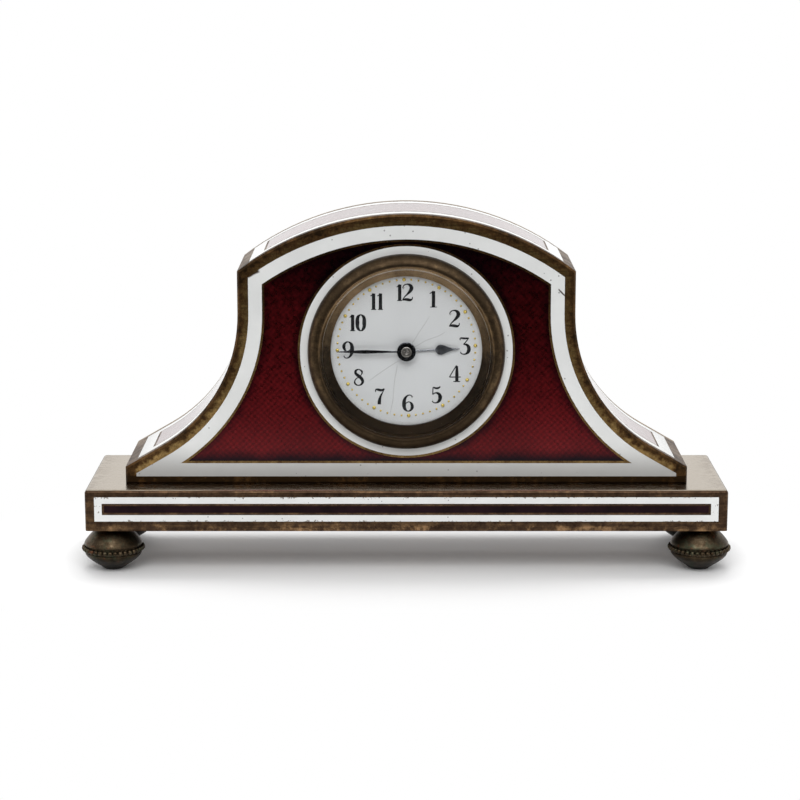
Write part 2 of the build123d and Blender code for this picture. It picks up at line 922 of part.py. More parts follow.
def pivoted_arbor(place, radius):
    """Arbor with a thin pivot at each end."""
    bar = rod(place, radius, main_back + end_shake, bridge_floor - end_shake)
    return bar + rod(place, pivot_radius, main_back - pivot_depth, bridge_floor + pivot_depth)


def barrel_drum():
    teeth = wheel_face(barrel_teeth, barrel_module, barrel_direction + 180)
    drum = slab(teeth, level(0.11), level(0.25), barrel)
    drum += rod(barrel, drum_radius, level(0.25), level(0.75))
    drum -= rod(barrel, drum_radius - drum_wall, level(0.25), level(0.75))
    return drum - rod(barrel, barrel_arbor_radius + running_play, level(0), level(0.3))


def barrel_cover():
    lid = rod(barrel, drum_radius - drum_wall, level(0.64), level(0.75))
    return lid - rod(barrel, barrel_arbor_radius + running_play, level(0.6), level(0.8))


def mainspring():
    room = drum_radius - drum_wall - barrel_core_radius
    turns = 4
    pitch = room / (turns + 0.75)
    coil = spiral_face(barrel_core_radius + 0.5 * pitch, pitch, turns, 0.5 * pitch)
    return slab(coil, level(0.28), level(0.61), barrel)


key_gap = 1.2
key_hub_length = 3.0
key_hub_radius = 1.4
key_wing = 2.1
key_reach = 2.3
key_half = 0.45
key_floor = bridge_top + key_gap


def barrel_arbor():
    arbor = rod(barrel, barrel_arbor_radius, main_back - barrel_pivot_depth, key_floor + key_hub_length)
    return arbor + rod(barrel, barrel_core_radius, level(0.27), level(0.62))


ratchet_radius = 2.6
ratchet_root = 2.2
ratchet_gap = 0.25
ratchet_thickness = 0.5
click_nose_turn = 115.0
click_nose_offset = 3.9
click_nose_gap = 0.3
click_pivot_distance = 4.8
click_pivot_turn = 140.0
click_pivot_half = 0.5
click_nose_half = 0.1
click_screw_radius = 0.25
spring_side = 1.15
spring_tip_side = 1.0
spring_start = 1.4
spring_reach = 1.3
spring_half = 0.12
spring_foot_radius = 0.45
ratchet_floor = bridge_top + ratchet_gap
ratchet_top = ratchet_floor + ratchet_thickness
click_nose = step_from(barrel, ratchet_root + click_nose_gap, click_nose_turn)
click_pivot = step_from(barrel, click_pivot_distance, click_pivot_turn)


def ratchet_wheel():
    """Saw teeth whose steep sides stop the click."""
    pitch = 360 / ratchet_teeth
    points = []
    for tooth in range(ratchet_teeth):
        turn = click_nose_turn - click_nose_offset + tooth * pitch
        points += [polar(ratchet_radius, turn), polar(ratchet_root, turn)]
    wheel = slab(polygon(points), ratchet_floor, ratchet_top, barrel)
    return wheel - rod(barrel, barrel_arbor_radius, bridge_top, ratchet_top + 1)


def click():
    shape = rounded_hull([(click_pivot, click_pivot_half), (click_nose, click_nose_half)])
    lever = slab(shape, ratchet_floor, ratchet_top)
    bore = click_screw_radius + running_play
    return lever - rod(click_pivot, bore, bridge_top, ratchet_top + 1)


def click_spring():
    """Blade beside the click, held by a round foot."""
    along = math.degrees(math.atan2(click_nose[1] - click_pivot[1], click_nose[0] - click_pivot[0]))
    away = along + 90
    start = step_from(step_from(click_pivot, spring_side, away), spring_start, along + 180)
    tip = step_from(step_from(click_pivot, spring_tip_side, away), spring_reach, along)
    shape = rounded_hull([(start, spring_half), (tip, spring_half)])
    blade = slab(shape, bridge_top, ratchet_top)
    return blade + rod(start, spring_foot_radius, bridge_top, ratchet_top)


def winding_key():
    """Hub with two pierced wings."""
    hub_top = key_floor + key_hub_length
    middle = hub_top + 0.5 * key_wing
    bow = Rectangle(2 * key_reach, 1.2 * key_wing)
    for side in (-1, 1):
        bow += Pos(side * key_reach, 0) * Circle(key_wing)
    for side in (-1, 1):
        bow -= Pos(side * key_reach, 0) * Circle(0.45 * key_wing)
    place = Pos(barrel[0], middle, barrel[1] - key_half)
    key = place * extrude(bow, amount=2 * key_half)
    key += rod(barrel, key_hub_radius, key_floor, hub_top)
    return key - rod(barrel, barrel_arbor_radius, key_floor - 1, hub_top)


def centre_wheel():
    """Wheel and pinion on a tube, which the setting arbor passes through."""
    piece = rod(centre, centre_tube, main_front + end_shake, bridge_top)
    leaves = pinion_face(pinion_leaves, barrel_module, barrel_direction + 180 / pinion_leaves)
    piece += slab(leaves, level(0.06), level(0.34), centre)
    radius = centre_module * centre_teeth / 2
    teeth = wheel_face(centre_teeth, centre_module, third_direction)
    piece += slab(crossed(teeth, 1.2, 0.82 * radius), level(0.82), level(0.89), centre)
    bore = set_arbor_radius + running_play
    return piece - rod(centre, bore, main_front - 1, bridge_top + 1)


def train_wheel(place, driven_from, pinion_module, leaf_levels, teeth_face, radius, wheel_levels):
    """Arbor with a pinion, driven from a direction, and a crossed wheel."""
    piece = pivoted_arbor(place, arbor_radius)
    leaves = pinion_face(pinion_leaves, pinion_module, driven_from + 180 / pinion_leaves)
    piece += slab(leaves, level(leaf_levels[0]), level(leaf_levels[1]), place)
    disc = crossed(teeth_face, 0.9, 0.82 * radius)
    return piece + slab(disc, level(wheel_levels[0]), level(wheel_levels[1]), place)


def third_wheel():
    teeth = wheel_face(third_teeth, third_module, fourth_direction)
    radius = third_module * third_teeth / 2
    driven_from = third_direction + 180
    return train_wheel(third, driven_from, centre_module, (0.77, 0.94), teeth, radius, (0.59, 0.66))


def fourth_wheel():
    teeth = wheel_face(fourth_teeth, fourth_module, escape_direction)
    radius = fourth_module * fourth_teeth / 2
    driven_from = fourth_direction + 180
    return train_wheel(fourth, driven_from, third_module, (0.54, 0.71), teeth, radius, (0.38, 0.45))


def escape_wheel():
    pitch = 360 / escape_teeth
    points = []
    for tooth in range(escape_teeth):
        turn = tooth * pitch
        points += [polar(0.78 * escape_radius, turn), polar(escape_radius, turn + 5)]
        points.append(polar(escape_radius, turn + 8))
    driven_from = escape_direction + 180
    levels = (0.18, 0.24)
    teeth = polygon(points)
    return train_wheel(escape, driven_from, fourth_module, (0.34, 0.5), teeth, 0.85 * escape_radius, levels)


# Escapement

stone_turns = (pallet_direction + 30, pallet_direction - 30)
stone_gap = 0.2
stone_length = 0.6
stone_width = 0.3
lever_half = 0.16
fork_back = 0.25
fork_bar = 0.25
fork_half = 0.8
horn_inner = 0.5
horn_length = 0.2
pallet_hub_radius = 0.34
pallet_arbor_radius = 0.2
pallet_arm_root = 0.2
pallet_arm_end = 0.28
pallet_boss_radius = 0.7


def pallet_stones():
    """Two stones that stand over the escape teeth."""
    stones = []
    for turn in stone_turns:
        block = Pos(escape_radius + stone_gap + stone_length / 2, 0) * Rectangle(stone_length, stone_width)
        stones.append(slab(Rot(0, 0, turn) * block, level(0.17), level(0.25), escape).solid())
    return together(stones)


def pallet_lever():
    """Lever with two arms for the stones and a fork for the balance's pin."""
    fork = lever_length - fork_back
    lever = rectangle(0, fork, -lever_half, lever_half)
    lever += rectangle(fork - fork_bar, fork, -fork_half, fork_half)
    for side in (-1, 1):
        horn = sorted((horn_inner * side, fork_half * side))
        lever += rectangle(fork, fork + horn_length, *horn)
    body = slab(Rot(0, 0, balance_direction) * lever, level(0.18), level(0.24), pallet)
    body += rod(pallet, pallet_hub_radius, level(0.18), level(0.24))
    for turn in stone_turns:
        arm_end = step_from(escape, escape_radius + stone_gap + 0.8 * stone_length, turn)
        arm = rounded_hull([(pallet, pallet_arm_root), (arm_end, pallet_arm_end)])
        body += slab(arm, level(0.18), level(0.24))
    body -= pallet_stones()
    body += rod(pallet, pallet_arbor_radius, main_back + end_shake, level(0.3))
    return body + rod(pallet, pivot_radius, main_back - pivot_depth, level(0.38))


balance_rim = 0.43
balance_arm = 0.5
balance_hub_radius = 0.8
hairspring_collet_radius = 0.5
impulse_pin_radius = 0.15


def balance_wheel():
    inner = balance_radius - balance_rim
    ring = Circle(balance_radius) - Circle(inner)
    ring += Rectangle(2 * inner + balance_rim, balance_arm)
    ring += Circle(balance_hub_radius)
    ring -= Circle(arbor_radius)
    return slab(ring, level(0.52), level(0.63), balance)


def balance_staff():
    """Staff with the hairspring's collet, the roller and its impulse pin."""
    staff = pivoted_arbor(balance, arbor_radius)
    staff += rod(balance, hairspring_collet_radius, level(0.69), level(0.76))
    staff += rod(balance, roller_radius, level(0.3), level(0.36))
    pin = step_from(balance, impulse_radius, balance_direction + 180)
    return staff + rod(pin, impulse_pin_radius, level(0.17), level(0.3))


hairspring_pitch = 0.34
hairspring_turns = 5
hairspring_inner = 0.62
hairspring_thickness = 0.1
hairspring_stud_gap = 0.15
hairspring_stud_radius = 0.2
regulator_eye = 1.0
regulator_reach = 3.0
regulator_turn = 25.0
regulator_tip = 0.2
regulator_thickness = 0.35
regulator_boss_radius = 0.6
regulator_boss_height = 0.5


def hairspring():
    coil = spiral_face(hairspring_inner, hairspring_pitch, hairspring_turns, hairspring_thickness)
    return slab(coil, level(0.7), level(0.75), balance)


def regulator():
    """Lever that turns round the balance cock's boss."""
    tip = polar(regulator_reach, regulator_turn)
    arm = rounded_hull([((0, 0), regulator_eye), (tip, regulator_tip)])
    arm -= Circle(regulator_boss_radius + running_play)
    return slab(arm, bridge_top, bridge_top + regulator_thickness, balance)


# Movement frame


def pivot_hole(place, radius=pivot_radius):
    """Bearing hole through a plate or bridge."""
    return rod(place, radius + running_play, main_front - 2, bridge_top + 2)


def bridge_plate(circles, feet):
    """Bridge over the train, on round feet."""
    plate = slab(rounded_hull(circles), bridge_floor, bridge_top)
    for place in feet:
        plate += rod(place, bridge_foot_radius, main_back, bridge_floor)
        plate -= rod(place, bridge_screw_radius, main_back, bridge_top)
    return plate


def main_plate():
    disc = rod(centre, plate_radius, main_front, main_back)
    disc += rod(minute_wheel_place, minute_stud_radius, dial_back + minute_stud_gap, main_front)
    for place in (third, fourth, escape, pallet, balance):
        disc -= pivot_hole(place)
    disc -= pivot_hole(centre, centre_tube)
    barrel_hole_end = main_back - barrel_pivot_depth - end_shake
    disc -= rod(barrel, barrel_arbor_radius + running_play, barrel_hole_end, main_back)
    dial_foot_end = main_front + dial_foot_depth + hole_play
    for turn in dial_foot_turns:
        disc -= rod(dial_foot_place(turn), dial_foot_radius + fit_play, main_front, dial_foot_end)
    screw_hole_end = main_back - bridge_screw_depth - hole_play
    for place in barrel_feet + train_feet + [balance_foot, pallet_foot]:
        disc -= rod(place, bridge_screw_radius, screw_hole_end, main_back)
    return disc


def barrel_bridge():
    circles = [(place, bridge_foot_radius + bridge_edge) for place in barrel_feet]
    bridge = bridge_plate(circles + [(barrel, barrel_boss_radius)], barrel_feet)
    bridge -= pivot_hole(barrel, barrel_arbor_radius)
    return bridge + rod(click_pivot, click_screw_radius, bridge_top, ratchet_top)


def train_bridge():
    circles = [(place, bridge_foot_radius + bridge_edge) for place in train_feet]
    circles += [(place, train_boss_radius) for place in (centre, third, fourth, escape)]
    bridge = bridge_plate(circles, train_feet)
    for place in (third, fourth, escape):
        bridge -= pivot_hole(place)
    return bridge - pivot_hole(centre, centre_tube)


def balance_cock():
    """Cock over the balance, with a boss for the regulator and a stud for the hairspring."""
    circles = [(balance_foot, bridge_foot_radius + bridge_edge), (balance, balance_boss_radius)]
    cock = bridge_plate(circles, [balance_foot])
    cock += rod(balance, regulator_boss_radius, bridge_top, bridge_top + regulator_boss_height)
    pivot_end = bridge_floor + pivot_depth + hole_play
    cock -= rod(balance, pivot_radius + running_play, bridge_floor, pivot_end)
    coil_radius = hairspring_inner + hairspring_turns * hairspring_pitch
    stud_reach = coil_radius + hairspring_stud_radius + hairspring_stud_gap
    stud = step_from(balance, stud_reach, 180)
    return cock + rod(stud, hairspring_stud_radius, level(0.7), bridge_floor)


def pallet_cock():
    shape = rounded_hull([(pallet, pallet_boss_radius), (pallet_foot, pallet_foot_radius)])
    bar = slab(shape, level(0.31), level(0.43))
    bar += rod(pallet_foot, pallet_foot_radius, main_back, level(0.31))
    bar -= rod(pallet_foot, bridge_screw_radius, main_back, level(0.43))
    return bar - rod(pallet, pivot_radius + running_play, level(0.3), level(0.5))


def bridge_screws():
    """Screws that hold the bridges and cocks to the main plate."""
    tops = [(place, bridge_top) for place in barrel_feet + train_feet + [balance_foot]]
    tops.append((pallet_foot, level(0.43)))
    screws = []
    for place, top in tops:
        screw = rod(place, bridge_screw_radius, main_back - bridge_screw_depth, top)
        screw += rod(place, 2 * bridge_screw_radius, top, top + bridge_screw_head)
        screws.append(screw.solid())
    return together(screws)


def movement_clamps():
    """Clips that hold the main plate's edge against the bezel's tube."""
    clips = []
    for turn in clamp_turns:
        inner = clamp_place(turn, plate_radius - clamp_grip)
        shape = rounded_hull([(clamp_place(turn), pillar_radius), (inner, clamp_nose_radius)])
        clip = slab(shape, main_back, main_back + clamp_thickness)
        clip -= rod(clamp_place(turn), screw_radius + fit_play, main_back - 1, main_back + 2)
        clips.append(clip.solid())
    return together(clips)


def clamp_screws():
    screws = []
    for turn in clamp_turns:
        top = main_back + clamp_thickness
        screw = rod(clamp_place(turn), screw_radius, main_back - clamp_screw_length, top)
        screw += rod(clamp_place(turn), screw_head_radius, top, top + screw_head_height)
        screws.append(screw.solid())
    return together(screws)


def all_nodes():
    """Every piece by its name."""
    nodes = {
        "base_plinth": base_plinth(),
        "base_bottom_plate": base_bottom_plate(),
        "base_white_enamel": base_white_enamel(),
        "base_red_enamel": base_red_enamel(),
        "case_fixing_screws": case_fixing_screws(),
        "case_front_plate": case_front_plate(),
        "front_white_enamel": front_white_enamel(),
        "front_red_enamel": front_red_enamel(),
        "dial_ring_enamel": dial_ring_enamel(),
        "case_pillars": case_pillars(),
        "crown_plate": crown_plate(),
        "left_flank_plate": flank_plate(-1),
        "right_flank_plate": flank_plate(1),
        "back_plate": back_plate(),
        "back_screws": back_screws(),
        "back_door": back_door(),
        "hinge_pin": hinge_pin(),
        "bezel": bezel(),
        "glass": glass(),
        "dial": dial(),
        "spacer_ring": spacer_ring(),
        "minute_hand": minute_hand(),
        "hour_hand": hour_hand(),
        "setting_arbor": setting_arbor(),
        "setting_knob": setting_knob(),
        "minute_wheel": minute_wheel(),
        "hour_wheel": hour_wheel(),
        "barrel_drum": barrel_drum(),
        "barrel_cover": barrel_cover(),
        "mainspring": mainspring(),
        "barrel_arbor": barrel_arbor(),
        "ratchet_wheel": ratchet_wheel(),
        "click": click(),
        "click_spring": click_spring(),
        "winding_key": winding_key(),
        "centre_wheel": centre_wheel(),
        "third_wheel": third_wheel(),
        "fourth_wheel": fourth_wheel(),
        "escape_wheel": escape_wheel(),
        "pallet_lever": pallet_lever(),
        "pallet_stones": pallet_stones(),
        "balance_wheel": balance_wheel(),
        "balance_staff": balance_staff(),
        "hairspring": hairspring(),
        "regulator": regulator(),
        "main_plate": main_plate(),
        "barrel_bridge": barrel_bridge(),
        "train_bridge": train_bridge(),
        "balance_cock": balance_cock(),
        "pallet_cock": pallet_cock(),
        "bridge_screws": bridge_screws(),
        "movement_clamps": movement_clamps(),
        "clamp_screws": clamp_screws(),
    }
    for name in foot_places:
        nodes[f"foot_{name}"] = foot(name)
    bands = ("crown", "left", "right")
    nodes["band_white_enamel"] = together(band_enamel(name, 0).solid() for name in bands)
    nodes["band_red_enamel"] = together(band_enamel(name, 1).solid() for name in bands)
    return nodes


def main():
    os.makedirs("parts", exist_ok=True)
    for name, piece in all_nodes().items():
        export_step(piece, f"parts/{name}.step")


main()
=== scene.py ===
"""Dresses the enamelled table timepiece. The frame gives the solids; this file gives the brass its
age and the enamel its depth, and adds the fine pieces: beaded feet, bezel, numerals, dots, hands
and screws. It is laid out as an add-on and is run as a script."""

import math

import bmesh
import bpy
from bpy.props import FloatProperty, FloatVectorProperty, IntProperty, PointerProperty
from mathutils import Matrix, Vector


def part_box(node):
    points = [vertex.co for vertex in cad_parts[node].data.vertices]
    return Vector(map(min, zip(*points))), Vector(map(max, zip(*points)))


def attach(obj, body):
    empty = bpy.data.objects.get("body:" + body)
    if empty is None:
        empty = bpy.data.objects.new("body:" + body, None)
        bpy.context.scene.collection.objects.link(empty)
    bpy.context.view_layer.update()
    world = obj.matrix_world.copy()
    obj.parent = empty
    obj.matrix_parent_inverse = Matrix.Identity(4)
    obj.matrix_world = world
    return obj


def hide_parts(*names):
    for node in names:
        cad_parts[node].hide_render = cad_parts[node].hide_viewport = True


bl_info = {
    "name": "Enamelled Timepiece",
    "version": (1, 0, 0),
    "blender": (4, 5, 0),
    "location": "3D View > Sidebar > Timepiece",
    "description": "Finishes and fine pieces of an enamelled table timepiece",
    "category": "Object",
}

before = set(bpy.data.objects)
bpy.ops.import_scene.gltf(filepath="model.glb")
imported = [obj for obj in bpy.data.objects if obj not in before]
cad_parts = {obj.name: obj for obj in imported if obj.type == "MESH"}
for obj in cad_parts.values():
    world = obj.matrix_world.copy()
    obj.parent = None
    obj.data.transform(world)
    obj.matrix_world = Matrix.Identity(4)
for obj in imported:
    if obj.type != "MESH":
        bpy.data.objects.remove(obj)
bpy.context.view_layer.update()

MM = 0.001


def corners(node):
    """Lowest and highest corner of a frame solid, in millimetres."""
    return [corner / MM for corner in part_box(node)]


# Places read from the frame, in millimetres
dial_low, dial_high = corners("dial")
plate_low, plate_high = corners("case_front_plate")
base_low, base_high = corners("base_plinth")
DIAL_MIDDLE = (dial_low.z + dial_high.z) / 2
DIAL_FRONT = dial_low.y
CASE_FRONT = plate_low.y
CASE_TOP = plate_high.z
HALF_WIDTH = plate_high.x
BASE_LOW = base_low.z
BASE_TOP = base_high.z
BASE_END = base_high.x
BASE_BACK = base_high.y
GROUND_LOW = corners("front_red_enamel")[0].z

# Outline of the case, in millimetres
HALF_SHOULDER = 29.0
CROWN_RADIUS = 47.8
FLANK_RADIUS = 27.0
FLANK_TOE = 6.3
STUB_HEIGHT = 2.95
RIM_FOOT = 1.3
FLANK_SLOPE = math.asin(1 - (HALF_WIDTH - HALF_SHOULDER - FLANK_TOE) / FLANK_RADIUS)
BEND_END = HALF_WIDTH - FLANK_TOE
BEND_LOW = BASE_TOP + STUB_HEIGHT + FLANK_TOE * math.tan(FLANK_SLOPE)
BEND_MIDDLE = BEND_LOW + FLANK_RADIUS * math.cos(FLANK_SLOPE)
BEZEL_LIP = 15.05
GROUND_EDGE = 4.65
RING_FILLET = 0.4
RING_LINE = corners("dial_ring_enamel")[1].x + RING_FILLET


# Sizes and colours that a user may change


def length(label, note, millimetres):
    """A length shown in the panel."""
    return FloatProperty(
        name=label, description=note, default=millimetres * MM, min=0.0, unit="LENGTH", precision=5
    )


def colour(label, note, *tint):
    """A colour shown in the panel."""
    return FloatVectorProperty(
        name=label, description=note, subtype="COLOR", size=3, min=0.0, max=1.0, default=tint
    )


class TimepieceSizes(bpy.types.PropertyGroup):
    """Sizes of the pieces that are added to the frame"""

    numeral_height: length("Numeral height", "Height of an hour numeral", 2.95)
    numeral_ring: length("Numeral ring", "Radius of the numerals' middles", 9.7)
    numeral_depth: length("Numeral depth", "How far the numerals stand up from the dial", 0.03)
    print_rise: length("Print rise", "How far the printing sits above the dial's middle", 0.5)
    dot_ring: length("Dot ring", "Radius of the ring of dots", 11.9)
    minute_dot: length("Minute dot", "Radius of a minute dot", 0.18)
    hour_dot: length("Hour dot", "Radius of an hour dot", 0.32)
    bead_radius: length("Bead", "Radius of a bead round a foot", 0.45)
    bead_count: IntProperty(name="Beads", description="Beads round one foot", default=36, min=8)


class TimepieceColours(bpy.types.PropertyGroup):
    """Colours of the finishes"""

    # On the front plate's rim these tones also carry painted light and shade
    rim_dark: colour("Rim tarnish", "Tarnish of the case's brass", 0.030, 0.017, 0.008)
    rim_mid: colour("Rim brass", "Main tone of the case's brass", 0.115, 0.060, 0.023)
    rim_light: colour("Rubbed rim", "Rubbed patches of the case's brass", 0.26, 0.165, 0.062)
    plinth_dark: colour("Plinth tarnish", "Tarnish of the plinth", 0.020, 0.011, 0.007)
    plinth_mid: colour("Plinth brass", "Main tone of the plinth", 0.068, 0.040, 0.024)
    plinth_light: colour("Rubbed plinth", "Rubbed patches of the plinth", 0.17, 0.100, 0.050)
    # On the feet the dark tone also carries painted shade under the bowl
    foot_dark: colour("Foot tarnish", "Tarnish of the feet", 0.014, 0.012, 0.009)
    foot_mid: colour("Foot brass", "Main tone of the feet", 0.052, 0.036, 0.021)
    foot_light: colour("Rubbed foot", "Rubbed patches of the feet", 0.14, 0.105, 0.066)
    # On the bezel these tones also carry painted light and shade
    bezel_dark: colour("Bezel tarnish", "Tarnish of the bezel", 0.026, 0.017, 0.010)
    bezel_mid: colour("Bezel brass", "Main tone of the bezel", 0.055, 0.037, 0.021)
    bezel_light: colour("Rubbed bezel", "Rubbed places of the bezel", 0.185, 0.120, 0.062)
    brass_polished: colour("Polished brass", "Upper face of the plinth", 0.50, 0.43, 0.34)
    white_enamel: colour("White enamel", "Borders and ring", 0.80, 0.81, 0.80)
    red_enamel: colour("Red enamel", "Ground of the case", 0.220, 0.013, 0.016)
    aubergine: colour("Aubergine enamel", "Stripe of the plinth", 0.011, 0.003, 0.005)
    dial: colour("Dial", "Enamel of the dial", 0.72, 0.73, 0.74)
    gold: colour("Gold", "Dots of the dial", 0.80, 0.62, 0.17)
    ink: colour("Ink", "Numerals of the dial", 0.008, 0.008, 0.009)
    blued: colour("Dark steel", "Minute hand", 0.040, 0.041, 0.045)
    # The hour hand is the same dark steel; its grey is a painted sheen
    hour_steel: colour("Painted sheen steel", "Hour hand", 0.150, 0.155, 0.170)
    blue_screw: colour("Blued steel", "Screws of the bridges", 0.050, 0.075, 0.190)
    gilt: colour("Gilt brass", "Plates and wheels of the movement", 0.78, 0.56, 0.26)
    steel: colour("Steel", "Arbors, screws and springs", 0.55, 0.55, 0.56)
    worn_steel: colour("Worn steel", "Rubbed end of the setting arbor", 0.34, 0.32, 0.30)
    screw: colour("Screw steel", "Heads of the case's screws", 0.26, 0.25, 0.24)
    back_brass: colour("Back brass", "Back plate and door", 0.29, 0.188, 0.080)
    verdigris: colour("Verdigris", "Green bloom on the feet", 0.060, 0.078, 0.050)
    copper_spot: colour("Copper spots", "Red spots on the feet", 0.135, 0.045, 0.022)
    ruby: colour("Ruby", "Pallet stones", 0.55, 0.01, 0.05)


# Selection and modelling helpers

# Distances within which points are merged, in metres
SAME_POINT = 2e-7
SAME_CORNER = 5e-7

# Angles that count as flat and as an edge, in degrees, and the steps round an eased edge
FLAT_ANGLE = 0.3
EDGE_ANGLE = 32
EDGE_STEPS = 2


def select_none():
    """Deselects every object."""
    bpy.ops.object.select_all(action="DESELECT")


def only(piece):
    """Makes one object the only selected one, and the active one."""
    select_none()
    piece.select_set(True)
    bpy.context.view_layer.objects.active = piece


def call(piece, name):
    """Gives an object and its mesh one name."""
    piece.name = name
    piece.data.name = name
    return piece


def fix_place():
    """Moves the selected object's place, turn and scale into its mesh."""
    bpy.ops.object.transform_apply(location=True, rotation=True, scale=True)


def named(name):
    """Names the object that was just added and fixes its place in its mesh."""
    piece = call(bpy.context.active_object, name)
    fix_place()
    return piece


def copied(piece):
    """A copy of an object with a mesh of its own, left selected."""
    only(piece)
    bpy.ops.object.duplicate(linked=False)
    return bpy.context.active_object


def pick_points(piece, test):
    """In edit mode, selects the points that pass a test."""
    bpy.ops.mesh.select_mode(type="VERT")
    bpy.ops.mesh.select_all(action="DESELECT")
    mesh = bmesh.from_edit_mesh(piece.data)
    for point in mesh.verts:
        point.select_set(test(point.co))
    mesh.select_flush_mode()
    bmesh.update_edit_mesh(piece.data)


def close_up():
    """In edit mode, merges doubles and turns every face outwards."""
    bpy.ops.mesh.select_mode(type="VERT")
    bpy.ops.mesh.select_all(action="SELECT")
    bpy.ops.mesh.remove_doubles(threshold=SAME_POINT)
    bpy.ops.mesh.normals_make_consistent(inside=False)


def turned(name, profile, middle, axis, segments, solid=True):
    """Round piece drawn up ring by ring: the profile gives a radius and a height for each ring, in
    millimetres. A solid piece starts from a disc and ends in one; a ring closes on its start."""
    upright = axis == "Z"
    along = Vector((0, 0, 1)) if upright else Vector((0, 1, 0))
    middle = Vector(middle)
    radius, height = profile[0]
    select_none()
    bpy.ops.mesh.primitive_circle_add(
        vertices=segments,
        radius=radius * MM,
        fill_type="NGON" if solid else "NOTHING",
        location=(middle + along * height) * MM,
        rotation=(0, 0, 0) if upright else (math.pi / 2, 0, 0),
    )
    piece = named(name)
    bpy.ops.object.mode_set(mode="EDIT")
    for (old_radius, old_height), (radius, height) in zip(profile, profile[1:]):
        step = along * (height - old_height) * MM
        bpy.ops.mesh.extrude_region_move(TRANSFORM_OT_translate={"value": step})
        if radius != old_radius:
            growth = radius / old_radius
            bpy.ops.transform.resize(
                value=(growth, growth, 1) if upright else (growth, 1, growth),
                center_override=(middle + along * height) * MM,
            )
    close_up()
    bpy.ops.object.mode_set(mode="OBJECT")
    return piece


def join(pieces):
    """Joins pieces into the first of them."""
    only(pieces[0])
    for piece in pieces[1:]:
        piece.select_set(True)
    bpy.ops.object.join()
    return pieces[0]


def frame_copy(node, name):
    """Copy of a frame solid with its loose triangles merged."""
    piece = call(bpy.data.objects.new(name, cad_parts[node].data.copy()), name)
    bpy.context.scene.collection.objects.link(piece)
    only(piece)
    bpy.ops.mesh.customdata_custom_splitnormals_clear()
    bpy.ops.object.mode_set(mode="EDIT")
    bpy.ops.mesh.select_all(action="SELECT")
    bpy.ops.mesh.remove_doubles(threshold=SAME_CORNER)
    bpy.ops.mesh.dissolve_limited(angle_limit=math.radians(FLAT_ANGLE))
    bpy.ops.object.mode_set(mode="OBJECT")
    return piece


def apply_modifier(piece, kind, **settings):
    """Adds a modifier to the active object and applies it."""
    bpy.ops.object.modifier_add(type=kind)
    modifier = piece.modifiers[-1]
    for key, value in settings.items():
        setattr(modifier, key, value)
    bpy.ops.object.modifier_apply(modifier=modifier.name)


def eased(node, name, width):
    """Copy of a frame solid with its sharp edges rounded over, that stands in for it."""
    piece = frame_copy(node, name)
    apply_modifier(
        piece,
        "BEVEL",
        width=width * MM,
        segments=EDGE_STEPS,
        limit_method="ANGLE",
        angle_limit=math.radians(EDGE_ANGLE),
        harden_normals=False,
    )
    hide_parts(node)
    return piece


def level_faces(piece):
    """Keeps broad faces flat in shading where they meet a rounded edge."""
    only(piece)
    apply_modifier(piece, "WEIGHTED_NORMAL", mode="FACE_AREA", weight=100, keep_sharp=True)


def settle(piece, body, finish, angle):
    """Gives a finished piece its shading, finish and body. Edges over the angle stay sharp."""
    only(piece)
    fix_place()
    bpy.ops.object.shade_smooth_by_angle(angle=math.radians(angle))
    piece.data.materials.clear()
    piece.data.materials.append(finish_named(finish))
    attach(piece, body)
    return piece


# Finishes

# Range that most of a noise's values lie in
NOISE_LOW = 0.3
NOISE_HIGH = 0.7


class Value:
    """What a node gives out at each place on a surface. It can be reckoned with like a number."""

    def __init__(self, nodes, socket):
        self.nodes = nodes
        self.socket = socket

    def through(self, operation, second=0.0):
        """This value put through a math node."""
        return self.nodes.math(operation, self, second)

    def __add__(self, other):
        return self.through("ADD", other)

    def __sub__(self, other):
        return self.through("SUBTRACT", other)

    def __rsub__(self, other):
        return self.nodes.math("SUBTRACT", other, self)

    def __mul__(self, other):
        return self.through("MULTIPLY", other)

    def __truediv__(self, other):
        return self.through("DIVIDE", other)

    def __mod__(self, other):
        return self.through("MODULO", other)

    def __abs__(self):
        return self.through("ABSOLUTE")

    def __gt__(self, other):
        return self.through("GREATER_THAN", other)

    def __lt__(self, other):
        return self.through("LESS_THAN", other)

    def least(self, other):
        """The smaller of two values."""
        return self.through("MINIMUM", other)

    def most(self, other):
        """The larger of two values."""
        return self.through("MAXIMUM", other)

    def choose(self, otherwise, chosen):
        """The second value where this one is 1, and the first where it is 0."""
        inputs = {0: self, 2: otherwise, 3: chosen}
        return self.nodes.take("ShaderNodeMix", inputs, data_type="FLOAT")

    def span(self, low, high, to_low=0.0, to_high=1.0):
        """A smooth step from one value to another, as this one goes from low to high."""
        inputs = {"Value": self, 1: low, 2: high, 3: to_low, 4: to_high}
        return self.nodes.take("ShaderNodeMapRange", inputs, interpolation_type="SMOOTHSTEP")

    def spread(self, to_low, to_high):
        """A noise spread between two values."""
        return self.span(NOISE_LOW, NOISE_HIGH, to_low, to_high)

    def ramp(self, *stops):
        """Colour that runs through stops, each a value and a shade."""
        node = self.nodes.add("ShaderNodeValToRGB", {0: self})
        points = node.color_ramp.elements
        while len(points) < len(stops):
            points.new(0.5)
        for point, (place, shade) in zip(points, stops):
            point.position = place
            point.color = (*shade, 1.0)
        return Value(self.nodes, node.outputs[0])

    def tones(self, low, high):
        """A noise coloured between two shades."""
        return self.ramp((NOISE_LOW, low), (NOISE_HIGH, high))

    def bump(self, strength, distance):
        """The surface's direction, with this value as its height. The distance is in millimetres."""
        inputs = {"Height": self, "Strength": strength, "Distance": distance * MM}
        return self.nodes.take("ShaderNodeBump", inputs)


